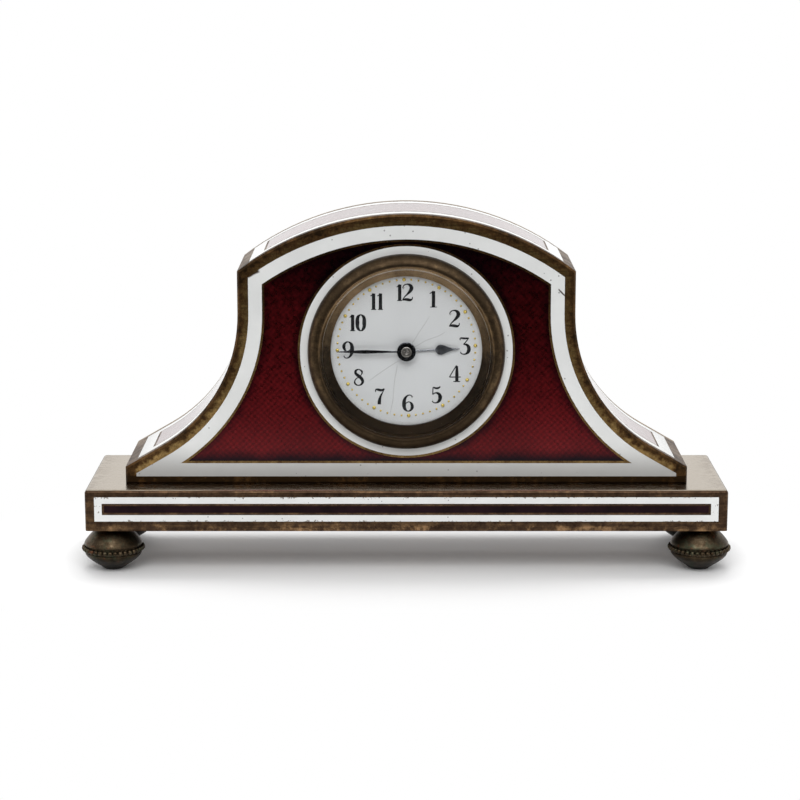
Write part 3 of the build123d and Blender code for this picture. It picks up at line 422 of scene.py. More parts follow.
class Nodes:
    """A node tree in the making."""

    def __init__(self, tree):
        self.tree = tree
        tree.nodes.clear()

    def feed(self, socket, value):
        """Links a value to a socket, or sets a constant on it."""
        if isinstance(value, Value):
            value = value.socket
        if isinstance(value, bpy.types.NodeSocket):
            self.tree.links.new(value, socket)
        elif socket.type == "RGBA":
            socket.default_value = (*value, 1.0)
        else:
            socket.default_value = value

    def add(self, kind, inputs=None, **settings):
        node = self.tree.nodes.new(kind)
        for key, value in settings.items():
            setattr(node, key, value)
        for key, value in (inputs or {}).items():
            self.feed(node.inputs[key], value)
        return node

    def take(self, kind, inputs=None, output=0, **settings):
        """Adds a node and gives one of its outputs."""
        return Value(self, self.add(kind, inputs, **settings).outputs[output])

    def math(self, operation, first, second):
        return self.take("ShaderNodeMath", {0: first, 1: second}, operation=operation)

    def mix(self, share, first, second):
        """Two colours mixed by a share."""
        inputs = {0: share, 6: first, 7: second}
        return self.take("ShaderNodeMix", inputs, 2, data_type="RGBA")

    def apart(self, vector):
        """The three parts of a vector."""
        node = self.add("ShaderNodeSeparateXYZ", {0: vector})
        return [Value(self, socket) for socket in node.outputs]

    def rays(self, *kinds):
        """1 for rays of the kinds named, and 0 for the rest."""
        path = self.add("ShaderNodeLightPath")
        first, *others = (Value(self, path.outputs[f"Is {kind} Ray"]) for kind in kinds)
        for other in others:
            first = first.most(other)
        return first


class Finish(Nodes):
    """A material in the making: a surface shader, and a place on the piece in millimetres."""

    def __init__(self, name):
        self.material = bpy.data.materials.new(name)
        self.material.use_nodes = True
        super().__init__(self.material.node_tree)
        self.surface = self.add("ShaderNodeBsdfPrincipled")
        self.output = self.add("ShaderNodeOutputMaterial", {"Surface": self.surface.outputs[0]})
        self.place = self.take("ShaderNodeTexCoord", output="Object")
        self.place = self.scaled((1 / MM, 1 / MM, 1 / MM))
        self.x, self.y, self.z = self.apart(self.place)

    def scaled(self, scale, shift=(0, 0, 0)):
        """The place, stretched and shifted."""
        inputs = {"Vector": self.place, "Scale": scale, "Location": shift}
        return self.take("ShaderNodeMapping", inputs)

    def noise(self, scale, detail, rough, vector=None, warp=0.0):
        inputs = {
            "Vector": vector or self.place,
            "Scale": scale,
            "Detail": detail,
            "Roughness": rough,
            "Distortion": warp,
        }
        return self.take("ShaderNodeTexNoise", inputs)

    def cloud(self, scale, vector=None, warp=0.0):
        """Noise with fine detail."""
        return self.noise(scale, 4.0, 0.6, vector, warp)

    def grain(self, scale, vector=None):
        """Noise with softer detail."""
        return self.noise(scale, 3.0, 0.5, vector)

    def upward(self):
        """How far the surface looks up."""
        return self.apart(self.take("ShaderNodeNewGeometry", output="Normal"))[2]

    def set(self, **values):
        """Sets inputs of the surface shader, named with underscores for spaces."""
        for key, value in values.items():
            self.feed(self.surface.inputs[key.replace("_", " ")], value)
        return self.material

    def blend(self, share, shader):
        """Shows another shader in place of the surface, by a share."""
        inputs = {0: share, 1: self.surface.outputs[0], 2: shader.outputs[0]}
        mixed = self.add("ShaderNodeMixShader", inputs)
        self.feed(self.output.inputs["Surface"], mixed.outputs[0])
        return self.material


def reach(across, up, from_across=0.0, from_up=0.0):
    """Distance in a plane from a point."""
    across = across - from_across
    up = up - from_up
    return (across * across + up * up).through("SQRT")


def from_dial(finish):
    """Distance from the dial's axis, in millimetres."""
    return reach(finish.x, finish.z, 0.0, DIAL_MIDDLE)


def outline_depth(finish):
    """How far a place on the case's front lies inside its outline, in millimetres."""
    z = finish.z
    side = abs(finish.x)
    crown = CROWN_RADIUS - reach(finish.x, z, 0.0, CASE_TOP - CROWN_RADIUS)
    bend = reach(side, z, HALF_SHOULDER + FLANK_RADIUS, BEND_MIDDLE) - FLANK_RADIUS
    flank = (z > BEND_MIDDLE).choose(bend, HALF_SHOULDER - side)
    drop = (BEND_END - side) * math.tan(FLANK_SLOPE) + BEND_LOW - z
    flank = (side > BEND_END).choose(flank, drop * math.cos(FLANK_SLOPE))
    return crown.least(flank).least(HALF_WIDTH - side)


# Patches of wear on brass: scale, detail and roughness of the noise
WEAR_PATCHES = (0.9, 5.0, 0.6)
TONE_STEP = 0.14

# Heights between which the brass changes, in millimetres; on the rim, bezel and feet these place
# painted light and shade
RIM_RUB_AND_LIGHT = (40.0, 50.0)
RIM_LINE_SHADE = (40.0, 47.0)
RIM_TOE_SHADE = (BASE_TOP + RIM_FOOT, BASE_TOP + RIM_FOOT + 0.1)
BEZEL_BAND_LIGHT = (DIAL_MIDDLE - 13.0, DIAL_MIDDLE + 13.0)
PLINTH_RUB = (BASE_LOW + 0.6, BASE_LOW + 1.6)
FOOT_BOWL_SHADE = (1.5, 4.0)
BACK_FOOT = (BASE_TOP, BASE_TOP + 5.0)

# Depths inside the rim, heights off the dial's middle, radii on the bezel, and edges of the plinth
RIM_EDGE = (0.5, 1.5)
RIM_LINE = (2.0, 2.3)
BEZEL_SIDES = (4.0, 16.0)
BEZEL_BAND = (BEZEL_LIP - 0.06, BEZEL_LIP)
PLINTH_ENDS = (BASE_END - 4.5, BASE_END)
PLINTH_SIDES = (BASE_BACK - 1.6, BASE_BACK)


def rim_wear(finish):
    """Change of tone on the front plate: a painted dark reflection along the outer edge, painted shade
    at the foot and in the lines of the upper half, and a lighter inner edge, partly rubbing of the
    brass and partly painted highlight, brightest low on the case."""
    depth = outline_depth(finish)
    # lighter inner edge: partly rubbing of the brass, partly painted highlight, brighter low on the
    # case
    rub_and_highlight = finish.z.span(*RIM_RUB_AND_LIGHT, 0.15, 0.065)
    wander = finish.noise(*WEAR_PATCHES).spread(-0.35, 0.35)
    # painted reflection: the outer edge dark, the inner edge lighter
    tone_shift = (depth + wander).span(*RIM_EDGE, -0.075, rub_and_highlight)
    # painted shade in the lines of the upper half
    painted_line_shade = depth.span(*RIM_LINE) * finish.z.span(*RIM_LINE_SHADE, -0.07, -0.19)
    # the last term is painted shade at the rim's foot, by the plinth
    return tone_shift + painted_line_shade + finish.z.span(*RIM_TOE_SHADE, -0.22, 0.0)


def bezel_wear(finish):
    """Painted light on the bezel: painted shade darkens its moulding above and below, and a painted
    reflection makes its inner band lighter at the top and dark at its foot."""
    band = from_dial(finish).span(*BEZEL_BAND, 1.0, 0.0)
    # painted reflection on the inner band: dark at the foot, light at the top
    tone_shift = finish.z.span(*BEZEL_BAND_LIGHT, -0.3, 0.45)
    # painted shade on the moulding: darker above and below than at the sides
    moulding = abs(finish.z - DIAL_MIDDLE).span(*BEZEL_SIDES, 0.07, -0.07)
    return band.choose(moulding, tone_shift)


def plinth_wear(finish):
    """Change of tone on the plinth: gold patches along the lower edge of its frame."""
    gold = finish.noise(0.22, 5.0, 0.7).span(0.48, 0.66, 0.0, 0.26)
    return finish.z.span(*PLINTH_RUB, 1.0, 0.0) * gold


def foot_wear(finish):
    """Painted shade on a foot: darker under the bowl."""
    return finish.z.span(*FOOT_BOWL_SHADE, -0.12, 0.0)


def aged_brass(name, tones, tone_shift=None, soft=1.0, polished=None, bloom=None, streaks=0.0):
    """Old brass: brown tarnish, gold patches of rubbing, pits and fine wiping marks. The tones run
    from dark to light, and a shift by place moves them: rubbing on the plinth and rim, and painted
    light and shade on the rim, bezel and feet. A soft finish has weaker patches, a polished tone goes
    on faces that look up, and bloom gives the colours of green bloom and of copper spots."""
    finish = Finish(name)
    dark, middle, light = (Vector(tone) for tone in tones)
    patch = finish.noise(*WEAR_PATCHES)
    grain = finish.grain(3.5)
    tone = finish.noise(0.16, 6.0, 0.62) * (0.5 - streaks) + patch * 0.35 + grain * 0.15
    if streaks:
        tone = tone + finish.cloud(1.0, finish.scaled((0.06, 1.6, 2.4))) * streaks
    # the shift by place carries rubbing, and on the rim, bezel and feet painted light and shade
    if tone_shift is not None:
        tone = tone + tone_shift(finish)
    step = TONE_STEP / soft
    shades = enumerate((dark, middle, light, light * 2))
    shade = tone.ramp(*((0.5 + step * (number - 1), shade) for number, shade in shades))
    rough = tone.span(0.35, 0.65, 0.50, 0.34)
    pits = finish.noise(6.0, 2.0, 0.5).span(0.60, 0.72)
    shade = finish.mix(pits * (0.7 * soft), shade, dark)
    if bloom is not None:
        green, copper = bloom
        shifted = finish.scaled((1, 1, 1), (31.0, 17.0, 5.0))
        moss = finish.noise(0.55, 5.0, 0.65, shifted).span(0.50, 0.66, 0.0, 0.45)
        spots = finish.cloud(0.8, shifted, 0.6).span(0.60, 0.70, 0.0, 0.7)
        shade = finish.mix(spots, finish.mix(moss, shade, green), copper)
        rough = rough + moss * 0.12
    wiped = finish.grain(1.0, finish.scaled((0.25, 6.0, 6.0)))
    rough = rough + wiped.spread(-0.06, 0.06)
    if polished is not None:
        edge = abs(finish.x).span(*PLINTH_ENDS).most(abs(finish.y).span(*PLINTH_SIDES))
        grime = edge * patch.span(0.40, 0.62, 0.0, 0.3)
        clean = finish.upward().span(0.75, 0.95) * (1.0 - grime)
        bright = finish.mix(wiped.span(0.35, 0.75, 0.88, 1.0), middle, polished)
        shade = finish.mix(clean, shade, bright)
        rough = rough * (1.0 - clean) + wiped.spread(0.18, 0.28) * clean
    height = pits * -0.6 + grain * 0.25 + wiped * 0.25
    bump = height.bump(0.35 * soft, 0.02)
    return finish.set(Base_Color=shade, Metallic=1.0, Roughness=rough, Normal=bump)


def brushed_brass(name, colours, ringed=False):
    """Plain brass of the back, gone brown with handling: drawn with fine abrasive from side to
    side, or turned in a lathe, which leaves rings round the dial's axis."""
    finish = Finish(name)
    base = Vector(colours.back_brass)
    if ringed:
        inputs = {0: from_dial(finish) * 5.0, 1: finish.y * 2.0}
        marks = finish.take("ShaderNodeCombineXYZ", inputs)
    else:
        marks = finish.scaled((0.08, 2.0, 9.0))
    brush = finish.cloud(1.0, marks)
    tone = finish.noise(0.05, 4.0, 0.55) * 0.75 + brush * 0.25
    shade = tone.ramp((0.34, base * 0.5), (0.52, base * 0.85), (0.68, base * 1.15))
    specks = finish.noise(2.2, 3.0, 0.6).span(0.66, 0.74, 0.0, 0.7)
    shade = finish.mix(specks, shade, base * 0.22)
    shade = finish.mix(finish.z.span(*BACK_FOOT, 0.5, 0.0), shade, base * 0.3)
    bump = (brush - specks * 0.4).bump(0.16, 0.02)
    rough = brush.spread(0.30, 0.46)
    return finish.set(Base_Color=shade, Metallic=1.0, Roughness=rough, Normal=bump)


# Tones of dirt, damage and depth in the enamel, and of painted shade low on the white
PINHOLE = (0.08, 0.075, 0.08)
LINE_DIRT = (0.09, 0.06, 0.038)
PAINTED_FOOT_SHADE = (0.20, 0.195, 0.19)
CHIPPED = (0.055, 0.036, 0.022)
CRACKED = (0.10, 0.085, 0.08)
HAIRLINE = (0.20, 0.19, 0.18)
DIAL_DUST = (0.38, 0.34, 0.27)
THICK_RED = (0.006, 0.002, 0.006)

# Ragged lines, from the dial's middle in x and z: start, end and width in millimetres
CORNER_CHIP = ((-27.35, 13.2), (-25.0, 14.2), 0.5)
SHOULDER_CRACK = ((25.9, 10.95), (27.6, 9.3), 0.16)
DIAL_CRACKS = [
    ((0.9, 1.2), (4.2, 6.6), 0.06),
    ((1.2, 0.6), (7.2, 3.6), 0.07),
    ((-1.2, -1.6), (-7.0, -5.6), 0.075),
    ((-1.5, -2.4), (-2.9, -11.6), 0.07),
]

# Heights and distances from the dial's axis between which the enamel changes, in millimetres
SHADED_FOOT = (BASE_TOP + 1.2, BASE_TOP + 8.0)
WEDGE_HEIGHT = (43.0, 55.0)
WEDGE_REACH = (18.0, 31.0)
DUSTY_EDGE = (12.2, 13.3)

# Pitch of the engine turning and of the grinding spots, in millimetres, and rings in a spot
TURNING_PITCH = 1.1
SPOT_PITCH = 0.9
SPOT_RINGS = 70.0


def crack(finish, start, end, width, fade=1.5):
    """Mask of a ragged line between two points, which fades out over its last stretch."""
    run = Vector((end[0] - start[0], end[1] - start[1]))
    turn = math.atan2(run.y, run.x)
    x = finish.x - start[0]
    z = finish.z - (DIAL_MIDDLE + start[1])
    along = x * math.cos(turn) + z * math.sin(turn)
    across = z * math.cos(turn) - x * math.sin(turn)
    wander = (finish.grain(0.35) - 0.5) * 0.7
    line = abs(across + wander).span(width * 0.4, width, 1.0, 0.0)
    tail = along.span(run.length - fade, run.length, 1.0, 0.0)
    return line * (along.span(0.0, 0.3) * tail)


def stripe_dirt(finish):
    """Mask of old dirt in the pits along the lines of the plinth's enamel."""
    lines = []
    for node in ("base_white_enamel", "base_red_enamel"):
        low, high = corners(node)
        off = abs(finish.z - (low.z + high.z) / 2)
        lines.append(abs(off - (high.z - low.z) / 2))
    ragged = finish.noise(1.6, 4.0, 0.7).span(0.50, 0.70, -0.06, 0.34)
    return (lines[0].least(lines[1]) < ragged) * (finish.z < BASE_TOP)


def white_enamel(name, colours):
    """Opaque white enamel, ground flush and polished: slight ripple, pinholes, grey clouds, a chipped
    corner at the left shoulder, a short crack at the right one, and painted shade low on the case."""
    finish = Finish(name)
    base = Vector(colours.white_enamel)
    shade = finish.cloud(0.12).ramp((0.35, base * 0.93), (0.65, base))
    on_case = finish.z > BASE_TOP
    spots = finish.add("ShaderNodeTexVoronoi", {"Vector": finish.place, "Scale": 0.8})
    chance, size, _ = finish.apart(spots.outputs["Color"])
    near = Value(finish, spots.outputs["Distance"]) < size * on_case.choose(0.11, 0.13)
    hole = near * (chance > on_case.choose(0.4, 0.62))
    shade = finish.mix(hole * 0.62, shade, PINHOLE)
    shade = finish.mix(stripe_dirt(finish) * 0.75, shade, LINE_DIRT)
    # painted shade: the white on the case greys towards the plinth's top
    low = finish.z.span(*SHADED_FOOT, 0.66, 0.0) * on_case
    shade = finish.mix(low, shade, PAINTED_FOOT_SHADE)
    chip = crack(finish, *CORNER_CHIP, fade=0.5)
    shade = finish.mix(chip, shade, CHIPPED)
    split = crack(finish, *SHOULDER_CRACK, fade=0.3)
    shade = finish.mix(split, shade, CRACKED)
    height = finish.noise(0.35, 2.0, 0.4) - chip.most(split).most(hole) * 0.4
    rough = finish.cloud(0.8).spread(0.07, 0.16)
    return finish.set(Base_Color=shade, Roughness=rough, IOR=1.52, Normal=height.bump(0.12, 0.15))


def engine_turning(across, up):
    """Height of engine-turned cuts: a close lattice of small lozenges in wavy rows."""
    turn = 2 * math.pi / TURNING_PITCH
    sway = (up * (turn / 3)).through("SINE") * 0.7
    rising = ((across + up) * turn + sway).through("SINE")
    falling = ((across - up) * turn + sway).through("SINE")
    return (rising + falling) * 0.5


def edge_shade(finish):
    """How far a place on the front lies inside the red ground, from 0 at its lines to 1 well
    inside. The wedges over the dial stay dark."""
    out = from_dial(finish)
    wander = (finish.grain(0.3) - 0.5) * 1.6
    ring = out - RING_LINE + wander
    foot = finish.z - GROUND_LOW + wander
    edge = outline_depth(finish) - GROUND_EDGE + wander
    near = ring.span(-0.4, 1.7, 0.15, 1.0).least(foot.span(-0.2, 2.6))
    near = near.least(edge.span(-0.6, 1.8, 0.25, 1.0))
    wedge = out.span(*WEDGE_REACH, 0.9, 0.0) * finish.z.span(*WEDGE_HEIGHT)
    return near * (1.0 - wedge)


def red_enamel(name, colours, banded=False):
    """Clear red enamel over engine-turned metal: the cuts glint under a smooth glassy surface, and
    on the front the enamel lies thicker and darker along its lines."""
    finish = Finish(name)
    base = Vector(colours.red_enamel)
    deep = finish.grain(0.07).ramp((0.35, base * 0.75), (0.65, base * 1.1))
    if banded:
        cuts = engine_turning((abs(finish.x) - finish.z) * 0.8, finish.y)
    else:
        cuts = engine_turning(finish.x, finish.z)
        deep = finish.mix(edge_shade(finish), THICK_RED, deep)
    speckle = finish.noise(2.2, 3.0, 0.6)
    glint = cuts.span(-0.8, 1.0, 0.66, 0.92) + speckle.spread(-0.12, 0.08)
    return finish.set(
        Base_Color=finish.mix(glint, THICK_RED, deep),
        Metallic=1.0,
        Roughness=finish.grain(1.2).spread(0.26, 0.36),
        Normal=cuts.bump(0.16, 0.03),
        Coat_Weight=1.0 if banded else 0.22,
        Coat_Roughness=0.04 if banded else 0.16,
        Coat_IOR=1.65 if banded else 1.5,
    )


def aubergine_enamel(name, colours):
    """Dark translucent enamel of the plinth's stripe."""
    finish = Finish(name)
    base = Vector(colours.aubergine)
    shade = finish.cloud(0.25).ramp((0.35, base * 0.6), (0.65, base * 1.5))
    rough = finish.grain(1.5).spread(0.12, 0.25)
    return finish.set(Base_Color=shade, Roughness=rough, IOR=1.5, Specular_IOR_Level=0.07)


def dial_enamel(name, colours):
    """Cool white fired enamel with a few hairlines and a trace of dust near the edge."""
    finish = Finish(name)
    base = Vector(colours.dial)
    shade = finish.cloud(0.15).tones(base * 0.95, base)
    marks, *others = (crack(finish, *line) for line in DIAL_CRACKS)
    for other in others:
        marks = marks.most(other)
    shade = finish.mix(marks * 0.42, shade, HAIRLINE)
    dust = from_dial(finish).span(*DUSTY_EDGE) * finish.cloud(1.4).span(0.4, 0.7, 0.2, 0.8)
    shade = finish.mix(dust * 0.5, shade, DIAL_DUST)
    rough = finish.grain(0.7).spread(0.14, 0.24)
    bump = finish.noise(0.4, 2.0, 0.4).bump(0.08, 0.15)
    return finish.set(Base_Color=shade, Roughness=rough, IOR=1.5, Normal=bump)


def watch_glass(name):
    """Clear flat glass with a faint wipe. Light on its way to the dial passes straight."""
    finish = Finish(name)
    rough = finish.cloud(0.3).span(0.5, 0.8, 0.0, 0.05)
    clear = (0.98, 0.99, 0.985)
    finish.set(Base_Color=clear, Roughness=rough, IOR=1.45, Transmission_Weight=1.0)
    return finish.blend(finish.rays("Shadow", "Diffuse"), finish.add("ShaderNodeBsdfTransparent"))


def plain_metal(name, tint, rough_low, rough_high, spread=0.12, metallic=1.0):
    """Clean metal with a light change of tone and fine finishing marks."""
    finish = Finish(name)
    tint = Vector(tint)
    shade = finish.cloud(1.5).tones(tint * (1 - spread), tint)
    marks = finish.grain(2.0, finish.scaled((0.4, 5.0, 5.0)))
    rough = marks.spread(rough_low, rough_high)
    bump = marks.bump(0.1, 0.01)
    return finish.set(Base_Color=shade, Metallic=metallic, Roughness=rough, Normal=bump)


def spotted_gilt(name, colours):
    """Gilt plate finished with rows of overlapping round grinding spots."""
    finish = Finish(name)
    half = SPOT_PITCH / 2
    row = (finish.z / SPOT_PITCH).through("FLOOR")
    across = (finish.x + row % 2.0 * half).through("PINGPONG", half)
    up = finish.z.through("PINGPONG", half)
    rings = (reach(across, up) * SPOT_RINGS).through("SINE")
    gilt = Vector(colours.gilt)
    shade = finish.cloud(0.3).tones(gilt * 0.8, gilt)
    rough = rings.span(-1.0, 1.0, 0.24, 0.36)
    bump = rings.bump(0.25, 0.012)
    return finish.set(Base_Color=shade, Metallic=1.0, Roughness=rough, Normal=bump)


def numeral_ink(name, colours):
    """Black fired paint, a little uneven."""
    finish = Finish(name)
    ink = Vector(colours.ink)
    shade = finish.cloud(2.5).ramp((0.3, ink), (0.75, ink * 2.2))
    rough = finish.grain(3.0).spread(0.25, 0.4)
    return finish.set(Base_Color=shade, Roughness=rough, IOR=1.5, Specular_IOR_Level=0.2)


def ruby_stone(name, colours):
    """Clear red stone."""
    finish = Finish(name)
    rough = finish.noise(4.0, 2.0, 0.5).spread(0.03, 0.1)
    return finish.set(Base_Color=colours.ruby, Roughness=rough, IOR=1.76, Transmission_Weight=0.6)


def finish_named(name):
    """A finish that an earlier operator made."""
    if name not in bpy.data.materials:
        raise RuntimeError(f"{name} is missing: run the finishes first")
    return bpy.data.materials[name]


RIM_BRASS = "rim_brass_rub_and_painted_light"
CASE_BRASS = "aged_case_brass"
BACK_BRASS = "brushed_back_brass"
DOOR_BRASS = "turned_door_brass"
BASE_BRASS = "aged_plinth_brass"
FOOT_BRASS = "aged_foot_brass_painted_shade"
BEZEL_BRASS = "aged_bezel_brass_painted_light"
WHITE = "white_border_enamel"
RED = "red_ground_enamel"
BAND_RED = "red_band_enamel"
AUBERGINE = "aubergine_stripe_enamel"
DIAL = "fired_dial_enamel"
GLASS = "watch_glass"
GILT = "gilt_wheel_brass"
SPOTTED = "spotted_gilt_plate"
STEEL = "bright_steel"
BLUED = "dark_hand_steel"
HOUR_STEEL = "hour_steel_painted_sheen"
WORN = "worn_steel"
SCREW = "screw_steel"
BLUE_SCREW = "blued_screw_steel"
RUBY = "ruby_stone"
GOLD = "gold_dots"
INK = "numeral_ink"

FOOT_NODES = ["foot_front_left", "foot_front_right", "foot_back_left", "foot_back_right"]
NODE_FINISHES = {
    BASE_BRASS: ["base_plinth", "base_bottom_plate"],
    RIM_BRASS: ["case_front_plate"],
    CASE_BRASS: ["crown_plate", "left_flank_plate", "right_flank_plate", "case_pillars"],
    BACK_BRASS: ["back_plate"],
    DOOR_BRASS: ["back_door"],
    SCREW: ["back_screws", "clamp_screws", "case_fixing_screws", "hinge_pin"],
    BEZEL_BRASS: ["bezel"],
    FOOT_BRASS: FOOT_NODES,
    WHITE: ["base_white_enamel", "front_white_enamel", "dial_ring_enamel", "band_white_enamel"],
    RED: ["front_red_enamel"],
    BAND_RED: ["band_red_enamel"],
    AUBERGINE: ["base_red_enamel"],
    DIAL: ["dial"],
    GLASS: ["glass"],
    GILT: [
        "spacer_ring", "minute_wheel", "hour_wheel", "barrel_drum", "barrel_cover", "centre_wheel",
        "third_wheel", "fourth_wheel", "balance_wheel", "setting_knob", "movement_clamps",
    ],
    SPOTTED: ["main_plate", "barrel_bridge", "train_bridge", "balance_cock", "pallet_cock"],
    WORN: ["setting_arbor"],
    STEEL: [
        "barrel_arbor", "ratchet_wheel", "click", "click_spring", "winding_key", "escape_wheel",
        "pallet_lever", "balance_staff", "regulator", "mainspring",
    ],
    BLUED: ["minute_hand"],
    HOUR_STEEL: ["hour_hand"],
    BLUE_SCREW: ["bridge_screws", "hairspring"],
    RUBY: ["pallet_stones"],
}


class TIMEPIECE_OT_finishes(bpy.types.Operator):
    """Makes every finish and gives the frame's solids theirs"""

    bl_idname = "timepiece.finishes"
    bl_label = "Finishes"

    def execute(self, context):
        colours = context.scene.timepiece_colours
        rim, plinth, foot, bezel = (
            [getattr(colours, f"{part}_{tone}") for tone in ("dark", "mid", "light")]
            for part in ("rim", "plinth", "foot", "bezel")
        )
        bloom = (colours.verdigris, colours.copper_spot)
        # The rim, feet and bezel take painted light and shade through their shifts of tone
        aged_brass(RIM_BRASS, rim, rim_wear)
        aged_brass(CASE_BRASS, rim)
        aged_brass(BASE_BRASS, plinth, plinth_wear, polished=colours.brass_polished, streaks=0.3)
        aged_brass(FOOT_BRASS, foot, foot_wear, bloom=bloom)
        aged_brass(BEZEL_BRASS, bezel, bezel_wear, soft=0.6)
        brushed_brass(BACK_BRASS, colours)
        brushed_brass(DOOR_BRASS, colours, ringed=True)
        white_enamel(WHITE, colours)
        red_enamel(RED, colours)
        red_enamel(BAND_RED, colours, banded=True)
        aubergine_enamel(AUBERGINE, colours)
        dial_enamel(DIAL, colours)
        watch_glass(GLASS)
        plain_metal(GILT, colours.gilt, 0.22, 0.34)
        spotted_gilt(SPOTTED, colours)
        plain_metal(STEEL, colours.steel, 0.18, 0.32)
        plain_metal(BLUED, colours.blued, 0.2, 0.34, spread=0.35)
        # painted sheen: the hour hand's steel drawn lighter than the minute hand's
        plain_metal(HOUR_STEEL, colours.hour_steel, 0.3, 0.42, spread=0.35)
        plain_metal(BLUE_SCREW, colours.blue_screw, 0.2, 0.34, spread=0.35)
        plain_metal(GOLD, colours.gold, 0.2, 0.3, metallic=0.8)
        plain_metal(SCREW, colours.screw, 0.3, 0.45, spread=0.4)
        plain_metal(WORN, colours.worn_steel, 0.35, 0.5, spread=0.5)
        numeral_ink(INK, colours)
        ruby_stone(RUBY, colours)
        for name, nodes in NODE_FINISHES.items():
            for node in nodes:
                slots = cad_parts[node].data.materials
                slots.clear()
                slots.append(finish_named(name))
        return {"FINISHED"}


# Feet, each ring of the profile a radius and a height in millimetres
FOOT_PROFILE = [
    (1.45, 0.0), (1.7, 0.06), (2.08, 0.33), (2.5, 0.66), (2.95, 0.95), (3.38, 1.23), (3.78, 1.53),
    (4.12, 1.81), (4.45, 2.1), (4.7, 2.38), (4.9, 2.72), (4.97, 2.95), (4.93, 3.06), (4.78, 3.12),
    (4.78, 4.26), (4.95, 4.32), (5.06, 4.42), (5.0, 4.68), (4.82, 5.0), (4.54, 5.36), (4.27, 5.7),
    (3.96, 6.05), (3.6, 6.4), (3.21, 6.74), (2.74, 7.08), (2.3, 7.36), (2.05, 7.56),
]
FOOT_SEGMENTS = 72
BEAD_HEIGHT = 3.7
BEAD_RING = 5.06


class TIMEPIECE_OT_feet(bpy.types.Operator):
    """Turns the four feet, each with a ring of round beads"""

    bl_idname = "timepiece.feet"
    bl_label = "Beaded Feet"

    def execute(self, context):
        middles = []
        for node in FOOT_NODES:
            low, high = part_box(node)
            middles.append(((low.x + high.x) / 2 / MM, (low.y + high.y) / 2 / MM, 0.0))
        first = self.model(context.scene.timepiece_sizes, middles[0])
        pieces = [first]
        for middle in middles[1:]:
            pieces.append(copied(first))
            bpy.ops.transform.translate(value=(Vector(middle) - Vector(middles[0])) * MM)
        for node, piece in zip(FOOT_NODES, pieces):
            call(piece, f"turned_{node}")
            settle(piece, "case", FOOT_BRASS, angle=40)
            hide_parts(node)
        return {"FINISHED"}

    def model(self, sizes, middle):
        body = turned("foot", FOOT_PROFILE, middle, "Z", FOOT_SEGMENTS)
        select_none()
        bpy.ops.mesh.primitive_ico_sphere_add(
            subdivisions=2,
            radius=sizes.bead_radius,
            location=((middle[0] + BEAD_RING) * MM, middle[1] * MM, BEAD_HEIGHT * MM),
        )
        bead = named("bead")
        bpy.ops.object.mode_set(mode="EDIT")
        bpy.ops.mesh.select_all(action="SELECT")
        count = sizes.bead_count
        bpy.ops.mesh.spin(
            steps=count - 1,
            dupli=True,
            angle=2 * math.pi * (count - 1) / count,
            center=(middle[0] * MM, middle[1] * MM, 0),
            axis=(0, 0, 1),
        )
        bpy.ops.object.mode_set(mode="OBJECT")
        return join([body, bead])


# Bezel, in millimetres. The crest and the seat are measured inwards from the outer edge
BEZEL_NODE = "bezel"
BEZEL_SEGMENTS = 160
BEZEL_CREST = 1.88
BEZEL_SEAT = 2.25
BEZEL_FOOT = -0.3
DIAL_OPENING = 13.05
TUBE_INSIDE = 14.4
TUBE_OUTSIDE = 15.6
MOULDING_STEPS = 10
MOULDING_TURN = 86


def bezel_profile():
    """Rings of the bezel as radius and depth behind the case's front."""
    low, high = corners(BEZEL_NODE)
    outer = high.x
    front = low.y - CASE_FRONT
    end = high.y - CASE_FRONT
    dial = DIAL_FRONT - CASE_FRONT
    crest = outer - BEZEL_CREST
    seat = outer - BEZEL_SEAT
    profile = [(outer - 0.02, 0.0), (outer, -0.04), (outer, BEZEL_FOOT)]
    for step in range(1, MOULDING_STEPS + 1):
        turn = math.radians(MOULDING_TURN * step / MOULDING_STEPS)
        radius = crest + (outer - crest) * math.cos(turn)
        profile.append((radius, BEZEL_FOOT + (front - BEZEL_FOOT) * math.sin(turn)))
    return profile + [
        (crest + 0.02, front + 0.04),
        (crest - 0.04, front),
        (crest - 0.1, front + 0.04),
        (seat, front + 0.38),
        (seat, front + 1.32),
        (seat - 0.5, front + 1.34),
        (seat - 0.56, front + 1.42),
        (DIAL_OPENING + 0.07, dial - 0.72),
        (DIAL_OPENING, dial - 0.64),
        (DIAL_OPENING, dial - 0.01),
        (TUBE_INSIDE, dial - 0.01),
        (TUBE_INSIDE, end),
        (TUBE_OUTSIDE, end),
        (TUBE_OUTSIDE, 0.0),
        (outer - 0.02, 0.0),
    ]


class TIMEPIECE_OT_bezel(bpy.types.Operator):
    """Turns the bezel with its moulding, crest line and sloping inner band"""

    bl_idname = "timepiece.bezel"
    bl_label = "Bezel"

    def execute(self, context):
        middle = (0, CASE_FRONT, DIAL_MIDDLE)
        piece = turned("turned_bezel", bezel_profile(), middle, "Y", BEZEL_SEGMENTS, solid=False)
        settle(piece, "case", BEZEL_BRASS, angle=28)
        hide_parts(BEZEL_NODE)
        return {"FINISHED"}


# Dial marks. The dial sits a little turned in its case, in degrees
DIAL_TURN = 2.0

# A dot: its height as a share of its radius, and its rings as shares of its radius and height
DOT_RISE = 0.8
DOT_PROFILE = [(1.0, 0.2), (0.8, 0.7), (0.4, 1.0)]
DOT_SINK = 0.02
DOT_SEGMENTS = 14

# Half widths of a stroke, stretch in width, and weight of the strokes
HAIR = 0.024
THICK = 0.09
STOUT = 1.25
SLIM = 1.05
LEAN = 0.82
BOLD = 1.3
STEM = 1.1

